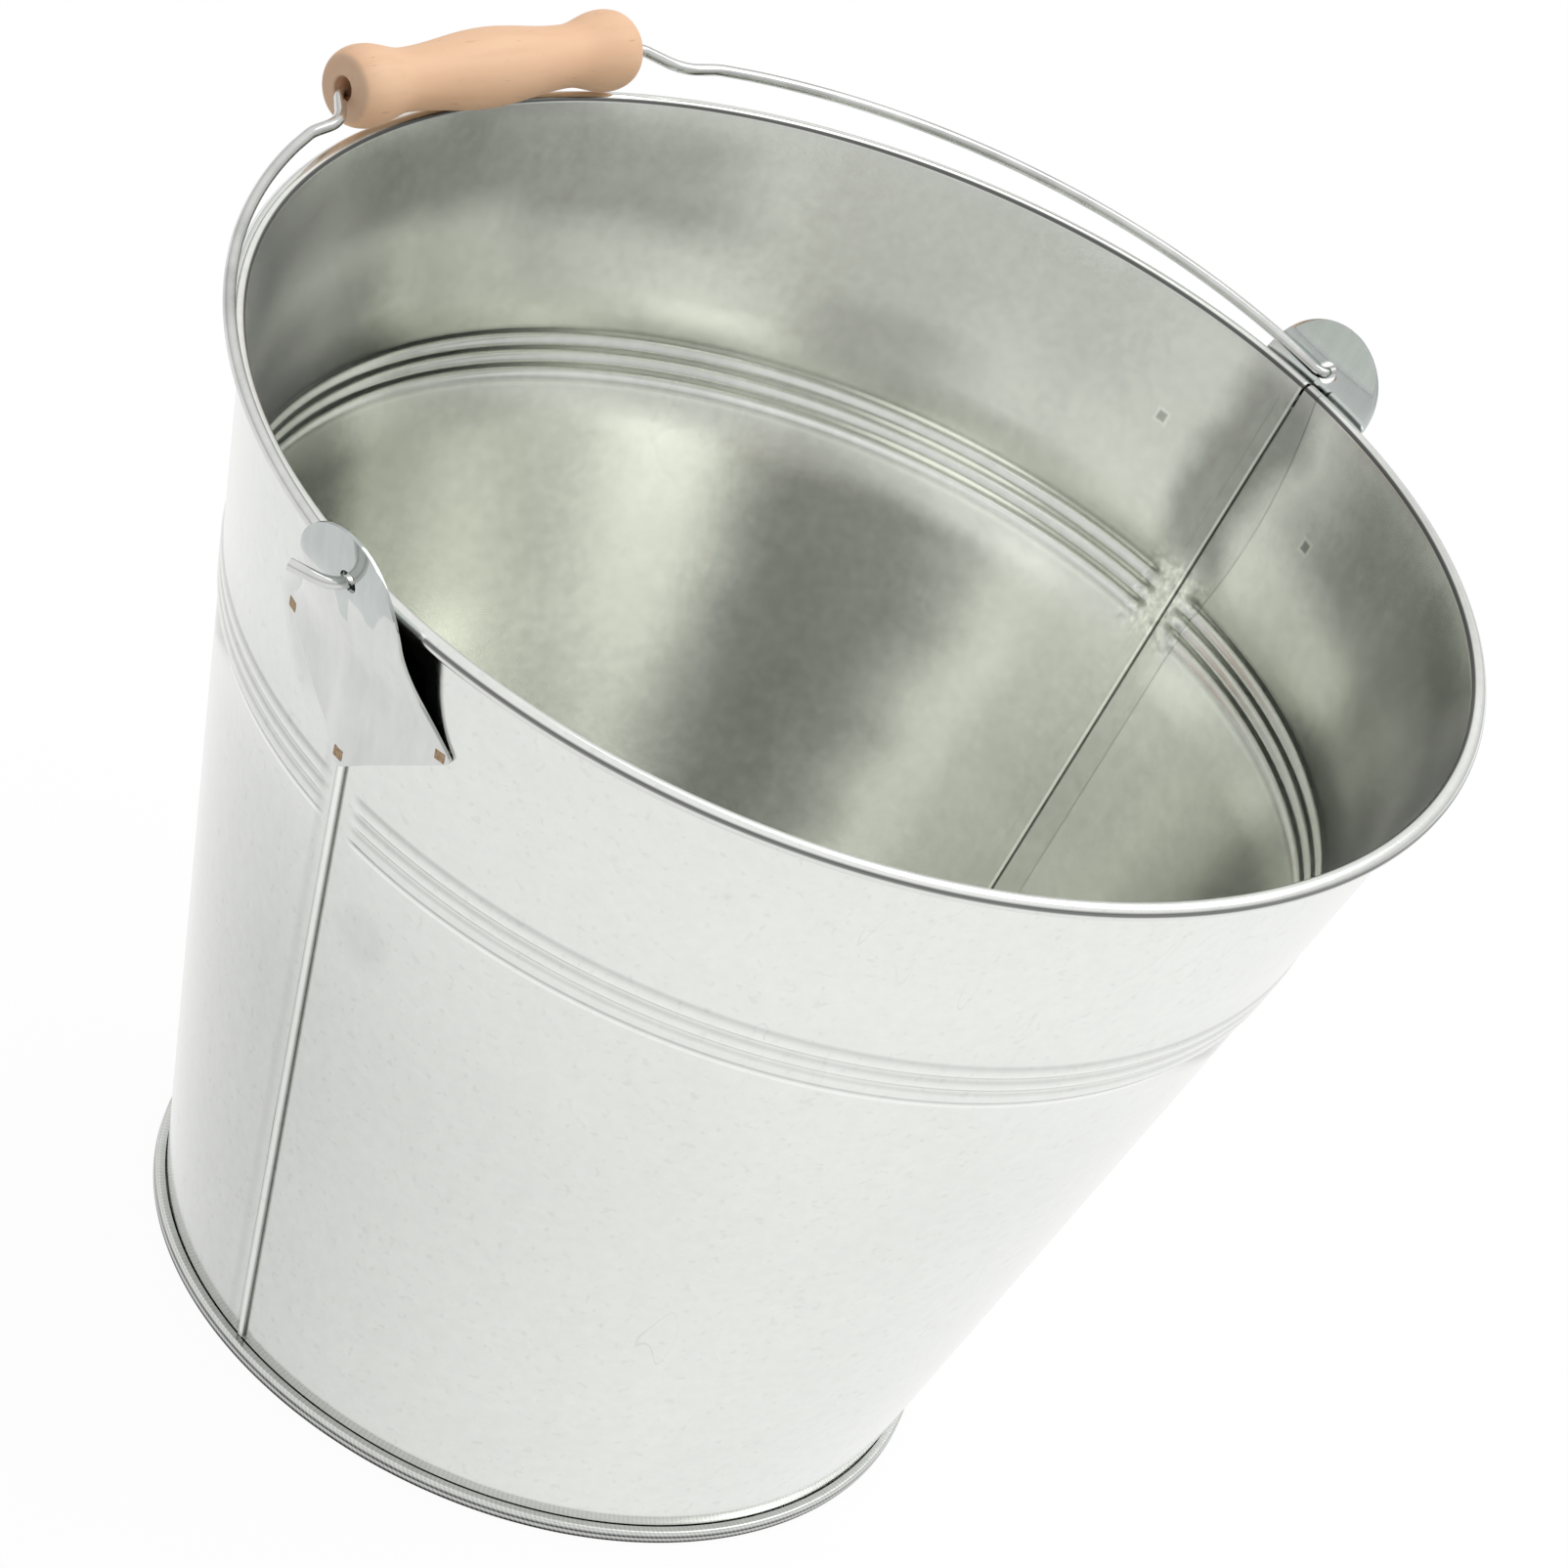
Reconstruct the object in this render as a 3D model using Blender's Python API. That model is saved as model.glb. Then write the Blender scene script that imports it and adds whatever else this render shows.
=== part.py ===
"""Galvanised steel pail with a folding wire bail and a turned wooden grip.

The origin is the centre of the underside of the base disc, which lies a few millimetres above the
floor. +Z is up, the two ears lie on the X axis, and the bail is folded down onto the rim on the +Y
side. Heights below are taken from the foot, on which the pail stands. Metres.
"""

import math

import bmesh
import bpy
from mathutils import Matrix, Vector

# Pail body: the sheet's middle surface gives the wall radii
RIM_HEIGHT = 0.2500
RIM_CLEAR_RADIUS = 0.1500
FOOT_WALL_RADIUS = 0.0975
SHEET = 0.0005

# Rolled rim and the wire inside it
ROLL_RADIUS = 0.0021
ROLL_END_ANGLE = math.radians(-140)
ROLL_STEPS = 9
RIM_WIRE_CLEARANCE = 0.0004
RIM_WIRE_SIDES = 8

# Foot: the wall's edge is hooked outwards and the base disc's edge is folded round the hook
CHIME_CLEARANCE = 0.0003
HOOK_LENGTH = 0.00125
HOOK_COVER = 0.0005
BASE_STEP = 0.0004
BASE_BEND = 0.0006
CONE_STEP = 0.0005

# Lock seams: each sheet's edge is hooked into the other, on the outside of the wall
SEAM_CLEARANCE = 0.00015
SEAM_FLAT = 0.0014
SEAM_END_GAP = 0.0003
SEAM_MARGIN = 0.00025
SEAM_ABOVE_FOOT = 0.0007
SEAM_BELOW_RIM = 0.0070
SEAM_NOTCH = 0.0005
BUTT_GAP = 0.0003

# Pressed beads round the wall, which die out beside the seams
BEAD_COUNT = 3
BEADS_BELOW_RIM = 0.0606
BEAD_PITCH = 0.00453
BEAD_RISE = 0.0006
BEAD_ROWS = 4
BEAD_TO_SEAM = 0.0008
BEAD_FADE = 0.0040
BEAD_FADE_SHARE = 0.8

# Angular steps of each half shell between its two seams
SHELL_ANGLE_MARGIN = math.radians(2.4)
SHELL_STEPS = 20

# Ears: a point on the seam, two corners, a waist and a round lobe
EAR_SHEET = 0.0009
EAR_CLEARANCE = 0.0003
EAR_POINT_BELOW_RIM = 0.0544
EAR_POINT_HALF_WIDTH = 0.0008
EAR_CORNER_BELOW_RIM = 0.0300
EAR_CORNER_HALF_WIDTH = 0.0306
EAR_CORNER_BLEND = 0.0025
EAR_LOBE_RADIUS = 0.0179
EAR_LOBE_DROP = 0.0056
EAR_FLARE_POWER = 2.0
EAR_LIFT_BELOW_RIM = 0.0365
EAR_LIFT_BLEND = 0.0160
EAR_TOP_BLEND = 0.0120
EAR_TOP_RATE = 0.0
EAR_RIDGE_MARGIN = 0.0061
EAR_WRAP_SHARE = 0.3
EAR_COLUMN_SHARES = (-1.0, -0.72, -0.44, -0.2, 0.0, 0.2, 0.44, 0.72, 1.0)
EAR_POINT_ROWS = 5
EAR_FLARE_ROWS = 9
EAR_LOBE_ROWS = 7
EAR_LOBE_END_ANGLE = math.radians(80)

# Spot welds, three on each ear
WELD_SIDE = 0.0030
WELD_CLEARANCE = 0.00015
WELD_PROUD = 0.00015
WELD_SEAT_GAP = 0.0001
WELD_CORNER_MARGIN = 0.0018
WELD_POINT_MARGIN = 0.0019

# Bail: a round wire bent in one plane that holds the line through both ear holes
BAIL_WIRE = 0.0030
BAIL_RIM_CLEARANCE = 0.0016
BAIL_EAR_CLEARANCE = 0.00055
EAR_HOLE_PLAY = 0.0025
HINGE_ABOVE_RIM = 0.0010
BAIL_HAND_SHORT = 0.0005
BAIL_CROWN = 0.0024
BAIL_DIP_RUN = 0.0068
BAIL_DIP = 0.0099
BAIL_SWEEP_RUN = 0.0107
BAIL_HAND_BEND = 0.0050
BAIL_DIP_BEND = 0.0110
BAIL_SWEEP_BEND = 0.0150
BAIL_EYE_BEND = 0.0025
BAIL_TAIL_START = 0.0054
BAIL_TAIL_BEND = 0.0070
BAIL_TAIL_LENGTH = 0.0101
BAIL_TAIL_ANGLE = math.radians(57)
BAIL_SWEEP_STEPS = 20
BEND_STEP = math.radians(22)

# Grip, free to turn on the straight middle of the bail, which lies in the bottom of its bore
GRIP_LENGTH = 0.0910
GRIP_BORE_PLAY = 0.0032
GRIP_LIFT_CLEARANCE = 0.0006
GRIP_MIDDLE_RADIUS = 0.00985
GRIP_NECK_SHARE = 0.79
GRIP_BULB_SHARE = 1.03
GRIP_FACE_RING = 0.0033
GRIP_NECK_PLACE_SHARE = 0.571
GRIP_BULB_PLACE_SHARE = 0.857
GRIP_END_ROOM = 0.0032
GRIP_SLIDE_SHARE = -0.88
GRIP_REST_GAP = 0.00026
GRIP_SIDES = 24
GRIP_SPAN_STEPS = 4
GRIP_END_STEPS = 3

SMOOTH_ANGLE = math.radians(35)

# Sizes that follow from the ones above
HALF_SHEET = SHEET / 2
ROLL_MIDDLE_RADIUS = ROLL_RADIUS - HALF_SHEET
ROLL_CENTRE_RADIUS = RIM_CLEAR_RADIUS + ROLL_RADIUS
ROLL_CENTRE_HEIGHT = RIM_HEIGHT - ROLL_RADIUS
RIM_WIRE_RADIUS = ROLL_RADIUS - SHEET - RIM_WIRE_CLEARANCE
CHIME_PITCH = SHEET + CHIME_CLEARANCE
HOOK_BEND_HEIGHT = SHEET + CHIME_CLEARANCE + HALF_SHEET + CHIME_PITCH
HOOK_HEIGHT = HOOK_BEND_HEIGHT + HOOK_LENGTH
CHIME_HEIGHT = HOOK_HEIGHT + HOOK_COVER
BASE_LEVEL = CHIME_HEIGHT + BASE_STEP
BASE_RECESS = BASE_LEVEL - HALF_SHEET
CONE_START = BASE_LEVEL + CONE_STEP
SEAM_PITCH = SHEET + SEAM_CLEARANCE
SEAM_RUN_IN = SEAM_FLAT / 2 + 3 * SEAM_PITCH + SEAM_MARGIN
SEAM_LOW = CONE_START + SEAM_ABOVE_FOOT
SEAM_TOP = RIM_HEIGHT - SEAM_BELOW_RIM
BEAD_LOW = RIM_HEIGHT - BEADS_BELOW_RIM - BEAD_COUNT * BEAD_PITCH
BEAD_DEAD_ARC = SEAM_RUN_IN + BEAD_TO_SEAM
BEAD_FADE_ARC = BEAD_DEAD_ARC + BEAD_FADE
SHELL_FIRST_ANGLE = BEAD_FADE_ARC / FOOT_WALL_RADIUS + SHELL_ANGLE_MARGIN
EAR_POINT_HEIGHT = RIM_HEIGHT - EAR_POINT_BELOW_RIM
EAR_CORNER_HEIGHT = RIM_HEIGHT - EAR_CORNER_BELOW_RIM
EAR_LIFT_START = RIM_HEIGHT - EAR_LIFT_BELOW_RIM
EAR_RIDGE_HALF_WIDTH = SEAM_RUN_IN + EAR_RIDGE_MARGIN
EAR_HOLE = BAIL_WIRE + EAR_HOLE_PLAY
HINGE_HEIGHT = RIM_HEIGHT + HINGE_ABOVE_RIM
BAIL_SIDE_RADIUS = RIM_CLEAR_RADIUS + 2 * ROLL_RADIUS + BAIL_RIM_CLEARANCE + BAIL_WIRE / 2
HINGE_RADIUS = BAIL_SIDE_RADIUS + BAIL_WIRE / 2 + BAIL_EAR_CLEARANCE + EAR_SHEET / 2
BAIL_HAND_DEPTH = ROLL_CENTRE_RADIUS - BAIL_HAND_SHORT
BAIL_DEPTH = BAIL_HAND_DEPTH + BAIL_CROWN
BAIL_STRAIGHT_HALF = GRIP_LENGTH / 2 + GRIP_END_ROOM
BAIL_DIP_WIDTH = BAIL_STRAIGHT_HALF + BAIL_DIP_RUN
BAIL_DIP_DEPTH = BAIL_HAND_DEPTH - BAIL_DIP
BAIL_SWEEP_WIDTH = BAIL_DIP_WIDTH + BAIL_SWEEP_RUN
GRIP_BORE = BAIL_WIRE + GRIP_BORE_PLAY
GRIP_LIFT = GRIP_BORE_PLAY / 2 - GRIP_LIFT_CLEARANCE
GRIP_NECK_RADIUS = GRIP_MIDDLE_RADIUS * GRIP_NECK_SHARE
GRIP_BULB_RADIUS = GRIP_MIDDLE_RADIUS * GRIP_BULB_SHARE
GRIP_FACE_RADIUS = GRIP_BORE / 2 + GRIP_FACE_RING
GRIP_NECK_PLACE = GRIP_LENGTH / 2 * GRIP_NECK_PLACE_SHARE
GRIP_BULB_PLACE = GRIP_LENGTH / 2 * GRIP_BULB_PLACE_SHARE
GRIP_SLIDE = GRIP_END_ROOM * GRIP_SLIDE_SHARE
FOOT = Matrix.Translation((0, 0, -BASE_RECESS))
HALF_TURN = Matrix.Rotation(math.pi, 4, "Z")


def wall_lean():
    """Angle of the wall from the vertical, which makes it run tangent into the rolled rim."""
    across = ROLL_CENTRE_RADIUS - FOOT_WALL_RADIUS
    up = ROLL_CENTRE_HEIGHT - CONE_START
    return math.atan2(across, up) - math.asin(ROLL_MIDDLE_RADIUS / math.hypot(across, up))


WALL_LEAN = wall_lean()


def wall_radius(height):
    """Radius of the sheet's middle surface on the cone."""
    return FOOT_WALL_RADIUS + (height - CONE_START) * math.tan(WALL_LEAN)


def ease(share):
    """Smooth step from 0 to 1."""
    share = min(1.0, max(0.0, share))
    return share * share * (3 - 2 * share)


def arc(centre, radius, start, end, steps):
    """Points on an arc, both ends included, as 2D vectors."""
    angles = [start + (end - start) * i / steps for i in range(steps + 1)]
    return [Vector((centre[0] + radius * math.cos(a), centre[1] + radius * math.sin(a))) for a in angles]


def mitre_normals(path):
    """Right-hand normal at each point of an open 2D path, lengthened at bends to keep the thickness."""
    sides = []
    for start, end in zip(path, path[1:]):
        run = (end - start).normalized()
        sides.append(Vector((run.y, -run.x)))
    normals = []
    for before, after in zip([sides[0]] + sides, sides + [sides[-1]]):
        middle = (before + after).normalized()
        normals.append(middle / middle.dot(before))
    return normals


def make_material(name, colour, roughness, metallic):
    made = bpy.data.materials.new(name)
    made.use_nodes = True
    shader = made.node_tree.nodes["Principled BSDF"]
    shader.inputs["Base Color"].default_value = (*colour, 1.0)
    shader.inputs["Roughness"].default_value = roughness
    shader.inputs["Metallic"].default_value = metallic
    made.diffuse_color = (*colour, 1.0)
    return made


def add_object(name, data, material, placement):
    """A named object for a mesh or a curve. A mesh is smooth where its faces meet at a low angle."""
    if isinstance(data, bpy.types.Mesh):
        data.shade_smooth()
        data.set_sharp_from_angle(angle=SMOOTH_ANGLE)
    if not data.materials:
        data.materials.append(material)
    made = bpy.data.objects.new(name, data)
    bpy.context.scene.collection.objects.link(made)
    made.matrix_world = placement
    return made


def finish_mesh(name, bm):
    bmesh.ops.recalc_face_normals(bm, faces=bm.faces)
    mesh = bpy.data.meshes.new(name)
    bm.to_mesh(mesh)
    bm.free()
    return mesh


def skin(bm, first, second):
    """Faces between two columns of (outer, inner) vertices, with the sheet's two long edges."""
    for (a_out, a_in), (b_out, b_in), (c_out, c_in), (d_out, d_in) in zip(first, first[1:], second, second[1:]):
        bm.faces.new((a_out, b_out, d_out, c_out))
        bm.faces.new((a_in, c_in, d_in, b_in))
    for end in (0, -1):
        bm.faces.new((first[end][0], second[end][0], second[end][1], first[end][1]))


def cap(bm, column):
    """Faces that close the sheet's thickness along one column."""
    for (a_out, a_in), (b_out, b_in) in zip(column, column[1:]):
        bm.faces.new((a_out, a_in, b_in, b_out))


def shell_rows():
    """Centre line of the wall's section: (point, normal, bead share), and where its stretches end."""
    hook_centre = (FOOT_WALL_RADIUS + CHIME_PITCH, HOOK_BEND_HEIGHT)
    points = [Vector((FOOT_WALL_RADIUS + 2 * CHIME_PITCH, HOOK_HEIGHT))]
    points += arc(hook_centre, CHIME_PITCH, 0, -math.pi, 4)
    points.append(Vector((FOOT_WALL_RADIUS, CONE_START)))
    low_end = len(points)
    shares = [0.0] * len(points)
    bead_heights = []
    for bead in range(BEAD_COUNT):
        for row in range(BEAD_ROWS):
            share = row / BEAD_ROWS
            bead_heights.append((BEAD_LOW + (bead + share) * BEAD_PITCH, math.sin(math.pi * share)))
    bead_heights.append((BEAD_LOW + BEAD_COUNT * BEAD_PITCH, 0.0))
    for height, share in [(SEAM_LOW, 0.0)] + bead_heights + [(SEAM_TOP, 0.0)]:
        points.append(Vector((wall_radius(height), height)))
        shares.append(share)
    high_start = len(points)
    above = SEAM_TOP + SEAM_NOTCH
    points.append(Vector((wall_radius(above), above)))
    roll_centre = (ROLL_CENTRE_RADIUS, ROLL_CENTRE_HEIGHT)
    points += arc(roll_centre, ROLL_MIDDLE_RADIUS, math.pi - WALL_LEAN, ROLL_END_ANGLE, ROLL_STEPS)
    shares += [0.0] * (len(points) - len(shares))
    return list(zip(points, mitre_normals(points), shares)), low_end, high_start


def seam_paths():
    """Hooked edges as (along the wall, out from the wall): the sheet outside, then the one inside."""
    half = SEAM_FLAT / 2
    pitch = SEAM_PITCH
    quarter = math.pi / 2
    outer = [Vector((SEAM_RUN_IN, 0))]
    outer += arc((half + 3 * pitch, pitch), pitch, -quarter, -math.pi, 3)
    outer += arc((half, pitch), 2 * pitch, 0, quarter, 3)[1:]
    outer += arc((-half, 2 * pitch), pitch, quarter, 3 * quarter, 4)
    outer.append(Vector((half - SEAM_END_GAP, pitch)))
    inner = [Vector((-SEAM_RUN_IN, 0))]
    inner += arc((half, pitch), pitch, -quarter, quarter, 4)
    inner.append(Vector((-half + SEAM_END_GAP, 2 * pitch)))
    return outer, inner


def shell_stations():
    """Columns round a half shell: (angle, arc beyond that angle, bead share)."""
    near = [(SEAM_RUN_IN, 0.0), (BEAD_DEAD_ARC, 0.0), (BEAD_FADE_ARC, BEAD_FADE_SHARE)]
    stations = [(0.0, run, share) for run, share in near]
    sweep = math.pi - 2 * SHELL_FIRST_ANGLE
    for step in range(SHELL_STEPS + 1):
        stations.append((SHELL_FIRST_ANGLE + sweep * step / SHELL_STEPS, 0.0, 1.0))
    stations += [(math.pi, -run, share) for run, share in reversed(near)]
    return stations


def ring_angles(radius):
    """Angles all round that meet both half shells' columns, so that rings lie parallel to them."""
    angles = [angle + run / radius for angle, run, share in shell_stations()]
    return angles + [angle + math.pi for angle in angles]


def shell_column(bm, rows, angle, along, out, side, bead_share):
    """One column of (outer, inner) vertices, the sheet bent by side off the plain wall at along, out."""
    column = []
    for point, normal, share in rows:
        rise = out + BEAD_RISE * share * bead_share
        pair = []
        for half in (HALF_SHEET, -HALF_SHEET):
            offset = rise + side.y * half
            radius = point.x + normal.x * offset
            turn = angle + (along + side.x * half) / point.x
            height = point.y + normal.y * offset
            pair.append(bm.verts.new((-radius * math.cos(turn), radius * math.sin(turn), height)))
        column.append(pair)
    return column


def lock_edge(bm, rows, column, low_end, high_start, angle, sign, path):
    """Ends one edge of the sheet: hooked along the wall, plain at the foot and at the rim."""
    straight = Vector((0, 1))
    for part, stretch in ((rows[:low_end], column[:low_end]), (rows[high_start:], column[high_start:])):
        end = shell_column(bm, part, angle, sign * BUTT_GAP / 2, 0.0, straight, 0.0)
        skin(bm, stretch, end)
        cap(bm, end)
    cap(bm, column[low_end - 1 : low_end + 1])
    cap(bm, column[high_start - 1 : high_start + 1])
    # The run of the normals turns with the path, and the sheet's outside is always its first side.
    sides = [normal * -sign for normal in mitre_normals(path)]
    ends = [rows[low_end], rows[high_start - 1]]
    wall = column[low_end:high_start]
    previous = [wall[0], wall[-1]]
    for index, (place, side) in enumerate(zip(path[1:], sides[1:])):
        now = shell_column(bm, ends, angle, place.x, place.y, side, 0.0)
        if index == 0:
            for face in (0, 1):
                bm.faces.new([pair[face] for pair in wall] + [now[1][face], now[0][face]])
            for end in (0, 1):
                bm.faces.new((previous[end][0], now[end][0], now[end][1], previous[end][1]))
        else:
            skin(bm, previous, now)
        previous = now
    cap(bm, previous)


def shell_mesh():
    """Half of the wall, from the outer hook of one seam to the inner hook of the other."""
    rows, low_end, high_start = shell_rows()
    outer, inner = seam_paths()
    straight = Vector((0, 1))
    bm = bmesh.new()
    columns = [shell_column(bm, rows, angle, run, 0.0, straight, share) for angle, run, share in shell_stations()]
    for first, second in zip(columns, columns[1:]):
        skin(bm, first, second)
    lock_edge(bm, rows, columns[0], low_end, high_start, 0.0, 1, outer)
    lock_edge(bm, rows, columns[-1], low_end, high_start, math.pi, -1, inner)
    return finish_mesh("shell_half", bm)


def turned_mesh(name, section, angles, axis="Z"):
    """A closed section of (radius, along) points turned about an axis. Radius 0 closes to a pole."""
    bm = bmesh.new()
    rings = []
    for radius, along in section:
        if radius == 0:
            places = [(0.0, 0.0)]
        else:
            places = [(-radius * math.cos(a), radius * math.sin(a)) for a in angles]
        if axis == "Z":
            rings.append([bm.verts.new((x, y, along)) for x, y in places])
        else:
            rings.append([bm.verts.new((along, x, y)) for x, y in places])
    count = len(angles)
    for ring, following in zip(rings, rings[1:] + rings[:1]):
        for i in range(count):
            j = (i + 1) % count
            if len(ring) == 1 and len(following) == 1:
                continue
            if len(ring) == 1:
                bm.faces.new((ring[0], following[i], following[j]))
            elif len(following) == 1:
                bm.faces.new((ring[i], ring[j], following[0]))
            else:
                bm.faces.new((ring[i], ring[j], following[j], following[i]))
    return finish_mesh(name, bm)


def base_mesh():
    """Recessed disc whose edge turns down, under and up round the wall's hook."""
    inside = FOOT_WALL_RADIUS - CHIME_PITCH
    outside = FOOT_WALL_RADIUS + 3 * CHIME_PITCH
    bend = BASE_BEND
    quarter = math.pi / 2
    line = arc((inside - bend, BASE_LEVEL - bend), bend, quarter, 0, 2)
    line += arc((inside + bend, HALF_SHEET + bend), bend, math.pi, math.pi + quarter, 2)
    line += arc((outside - bend, HALF_SHEET + bend), bend, -quarter, 0, 2)
    line.append(Vector((outside, CHIME_HEIGHT)))
    normals = mitre_normals([Vector((0, BASE_LEVEL))] + line)[1:]
    upper = [point - normal * HALF_SHEET for point, normal in zip(line, normals)]
    lower = [point + normal * HALF_SHEET for point, normal in zip(line, normals)]
    section = [(0, BASE_LEVEL - HALF_SHEET), *lower, *reversed(upper), (0, BASE_LEVEL + HALF_SHEET)]
    return turned_mesh("base_disc", section, ring_angles(FOOT_WALL_RADIUS))


def rim_wire_mesh():
    centre = (ROLL_CENTRE_RADIUS, ROLL_CENTRE_HEIGHT)
    section = arc(centre, RIM_WIRE_RADIUS, 0, 2 * math.pi, RIM_WIRE_SIDES)[:-1]
    return turned_mesh("rim_wire", section, ring_angles(ROLL_CENTRE_RADIUS))


def ear_seat(height):
    """Radius of an ear's middle surface where it lies on the wall."""
    return wall_radius(height) + HALF_SHEET + EAR_CLEARANCE + EAR_SHEET / 2


def bent_rise(above, blend):
    """Rises at a rate that grows from 0 to 1 within the blend and stays at 1 from there on."""
    if above <= 0:
        return 0.0
    if above < blend:
        return above * above / (2 * blend)
    return above - blend / 2


# The ear leaves the wall at the rate that puts its hole at the right radius, and straightens there
EAR_TOP_START = HINGE_HEIGHT - EAR_TOP_BLEND / 2
EAR_TOP_RISE = bent_rise(HINGE_HEIGHT - EAR_TOP_START, EAR_TOP_BLEND)
EAR_RISE = bent_rise(HINGE_HEIGHT - EAR_LIFT_START, EAR_LIFT_BLEND) - EAR_TOP_RISE
EAR_LIFT_RATE = (HINGE_RADIUS - ear_seat(HINGE_HEIGHT) - EAR_TOP_RATE * EAR_TOP_RISE) / EAR_RISE
EAR_TOP_COSINE = math.cos(math.atan(EAR_TOP_RATE + math.tan(WALL_LEAN)))
EAR_LOBE_CENTRE = HINGE_HEIGHT - EAR_LOBE_DROP * EAR_TOP_COSINE
EAR_LOBE_RISE = EAR_LOBE_RADIUS * EAR_TOP_COSINE


def ear_lift(height):
    """How far the ear stands off its seat, to clear the rolled rim and the bail."""
    leaving = EAR_LIFT_RATE * bent_rise(height - EAR_LIFT_START, EAR_LIFT_BLEND)
    return leaving - (EAR_LIFT_RATE - EAR_TOP_RATE) * bent_rise(height - EAR_TOP_START, EAR_TOP_BLEND)


def ear_point(width, height):
    """Middle surface of the ear on the -X side, at a distance along the wall and a height."""
    loose = ease((height - EAR_CORNER_HEIGHT) / (HINGE_HEIGHT - EAR_CORNER_HEIGHT))
    held = 1 - loose * (1 - EAR_WRAP_SHARE)
    late = (EAR_CORNER_HEIGHT - EAR_LIFT_START) * held * (width / EAR_CORNER_HALF_WIDTH) ** 2
    lift = ear_lift(height - late)
    ridge = 0.0
    if abs(width) < EAR_RIDGE_HALF_WIDTH:
        ridge = 3 * SEAM_PITCH * math.cos(math.pi * width / (2 * EAR_RIDGE_HALF_WIDTH)) ** 2
    seat = ear_seat(height)
    roundness = seat - math.sqrt(seat * seat - width * width)
    return Vector((-(seat + max(lift, ridge) - roundness * (1 - loose)), width, height))


def ear_normal(width, height):
    """Outward unit normal of the ear's middle surface."""
    step = EAR_SHEET
    along = ear_point(width + step, height) - ear_point(width - step, height)
    up = ear_point(width, height + step) - ear_point(width, height - step)
    return up.cross(along).normalized()


def ear_half_width(height):
    """Half the ear's width: a point on the seam, two welded corners, a waist and a round lobe."""
    if height >= EAR_LOBE_CENTRE:
        rise = min(1.0, (height - EAR_LOBE_CENTRE) / EAR_LOBE_RISE)
        return EAR_LOBE_RADIUS * math.sqrt(1 - rise * rise)
    slope = (EAR_CORNER_HALF_WIDTH - EAR_POINT_HALF_WIDTH) / (EAR_CORNER_HEIGHT - EAR_POINT_HEIGHT)
    point_side = EAR_POINT_HALF_WIDTH + slope * (height - EAR_POINT_HEIGHT)
    down = (EAR_LOBE_CENTRE - height) / (EAR_LOBE_CENTRE - EAR_CORNER_HEIGHT)
    flare_side = EAR_LOBE_RADIUS + (EAR_CORNER_HALF_WIDTH - EAR_LOBE_RADIUS) * down**EAR_FLARE_POWER
    near = max(0.0, EAR_CORNER_BLEND - abs(point_side - flare_side)) / EAR_CORNER_BLEND
    return min(point_side, flare_side) - near * near * EAR_CORNER_BLEND / 4


def ear_heights():
    """Heights of the ear's rows, closer together at the corners and at the top of the lobe."""
    corner = EAR_CORNER_HEIGHT
    heights = []
    for row in range(EAR_POINT_ROWS):
        heights.append(EAR_POINT_HEIGHT + (corner - EAR_CORNER_BLEND - EAR_POINT_HEIGHT) * row / EAR_POINT_ROWS)
    heights += [corner - EAR_CORNER_BLEND, corner - EAR_CORNER_BLEND / 3, corner + EAR_CORNER_BLEND / 3]
    start = corner + EAR_CORNER_BLEND
    for row in range(EAR_FLARE_ROWS):
        heights.append(start + (EAR_LOBE_CENTRE - start) * row / EAR_FLARE_ROWS)
    for row in range(EAR_LOBE_ROWS + 1):
        heights.append(EAR_LOBE_CENTRE + EAR_LOBE_RISE * math.sin(EAR_LOBE_END_ANGLE * row / EAR_LOBE_ROWS))
    return heights


def weld_places():
    """(name, width, height) of the three welds of an ear."""
    corner = EAR_CORNER_HALF_WIDTH - WELD_SIDE / 2 - WELD_CORNER_MARGIN
    return [
        ("point", 0.0, EAR_POINT_HEIGHT + WELD_SIDE / 2 + WELD_POINT_MARGIN),
        ("side_a", corner, EAR_CORNER_HEIGHT),
        ("side_b", -corner, EAR_CORNER_HEIGHT),
    ]


def ear_frame(width, height):
    """Placement whose Z axis is the ear's outward normal at that point, with Y along the wall."""
    normal = ear_normal(width, height)
    along = Vector((0, 1, 0))
    along = (along - normal * along.dot(normal)).normalized()
    turn = Matrix((along.cross(normal), along, normal)).transposed()
    return Matrix.Translation(ear_point(width, height)) @ turn.to_4x4()


def block_mesh(name, side, low, high):
    """Square block about the Z axis, from low to high."""
    bm = bmesh.new()
    bmesh.ops.create_cube(bm, size=1)
    bmesh.ops.scale(bm, vec=(side, side, high - low), verts=bm.verts)
    bmesh.ops.translate(bm, vec=(0, 0, (high + low) / 2), verts=bm.verts)
    return finish_mesh(name, bm)


def add_cutter(name, mesh, placement, material):
    cutter = add_object(name, mesh, material, placement)
    cutter.hide_render = True
    cutter.display_type = "WIRE"
    return cutter


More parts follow.
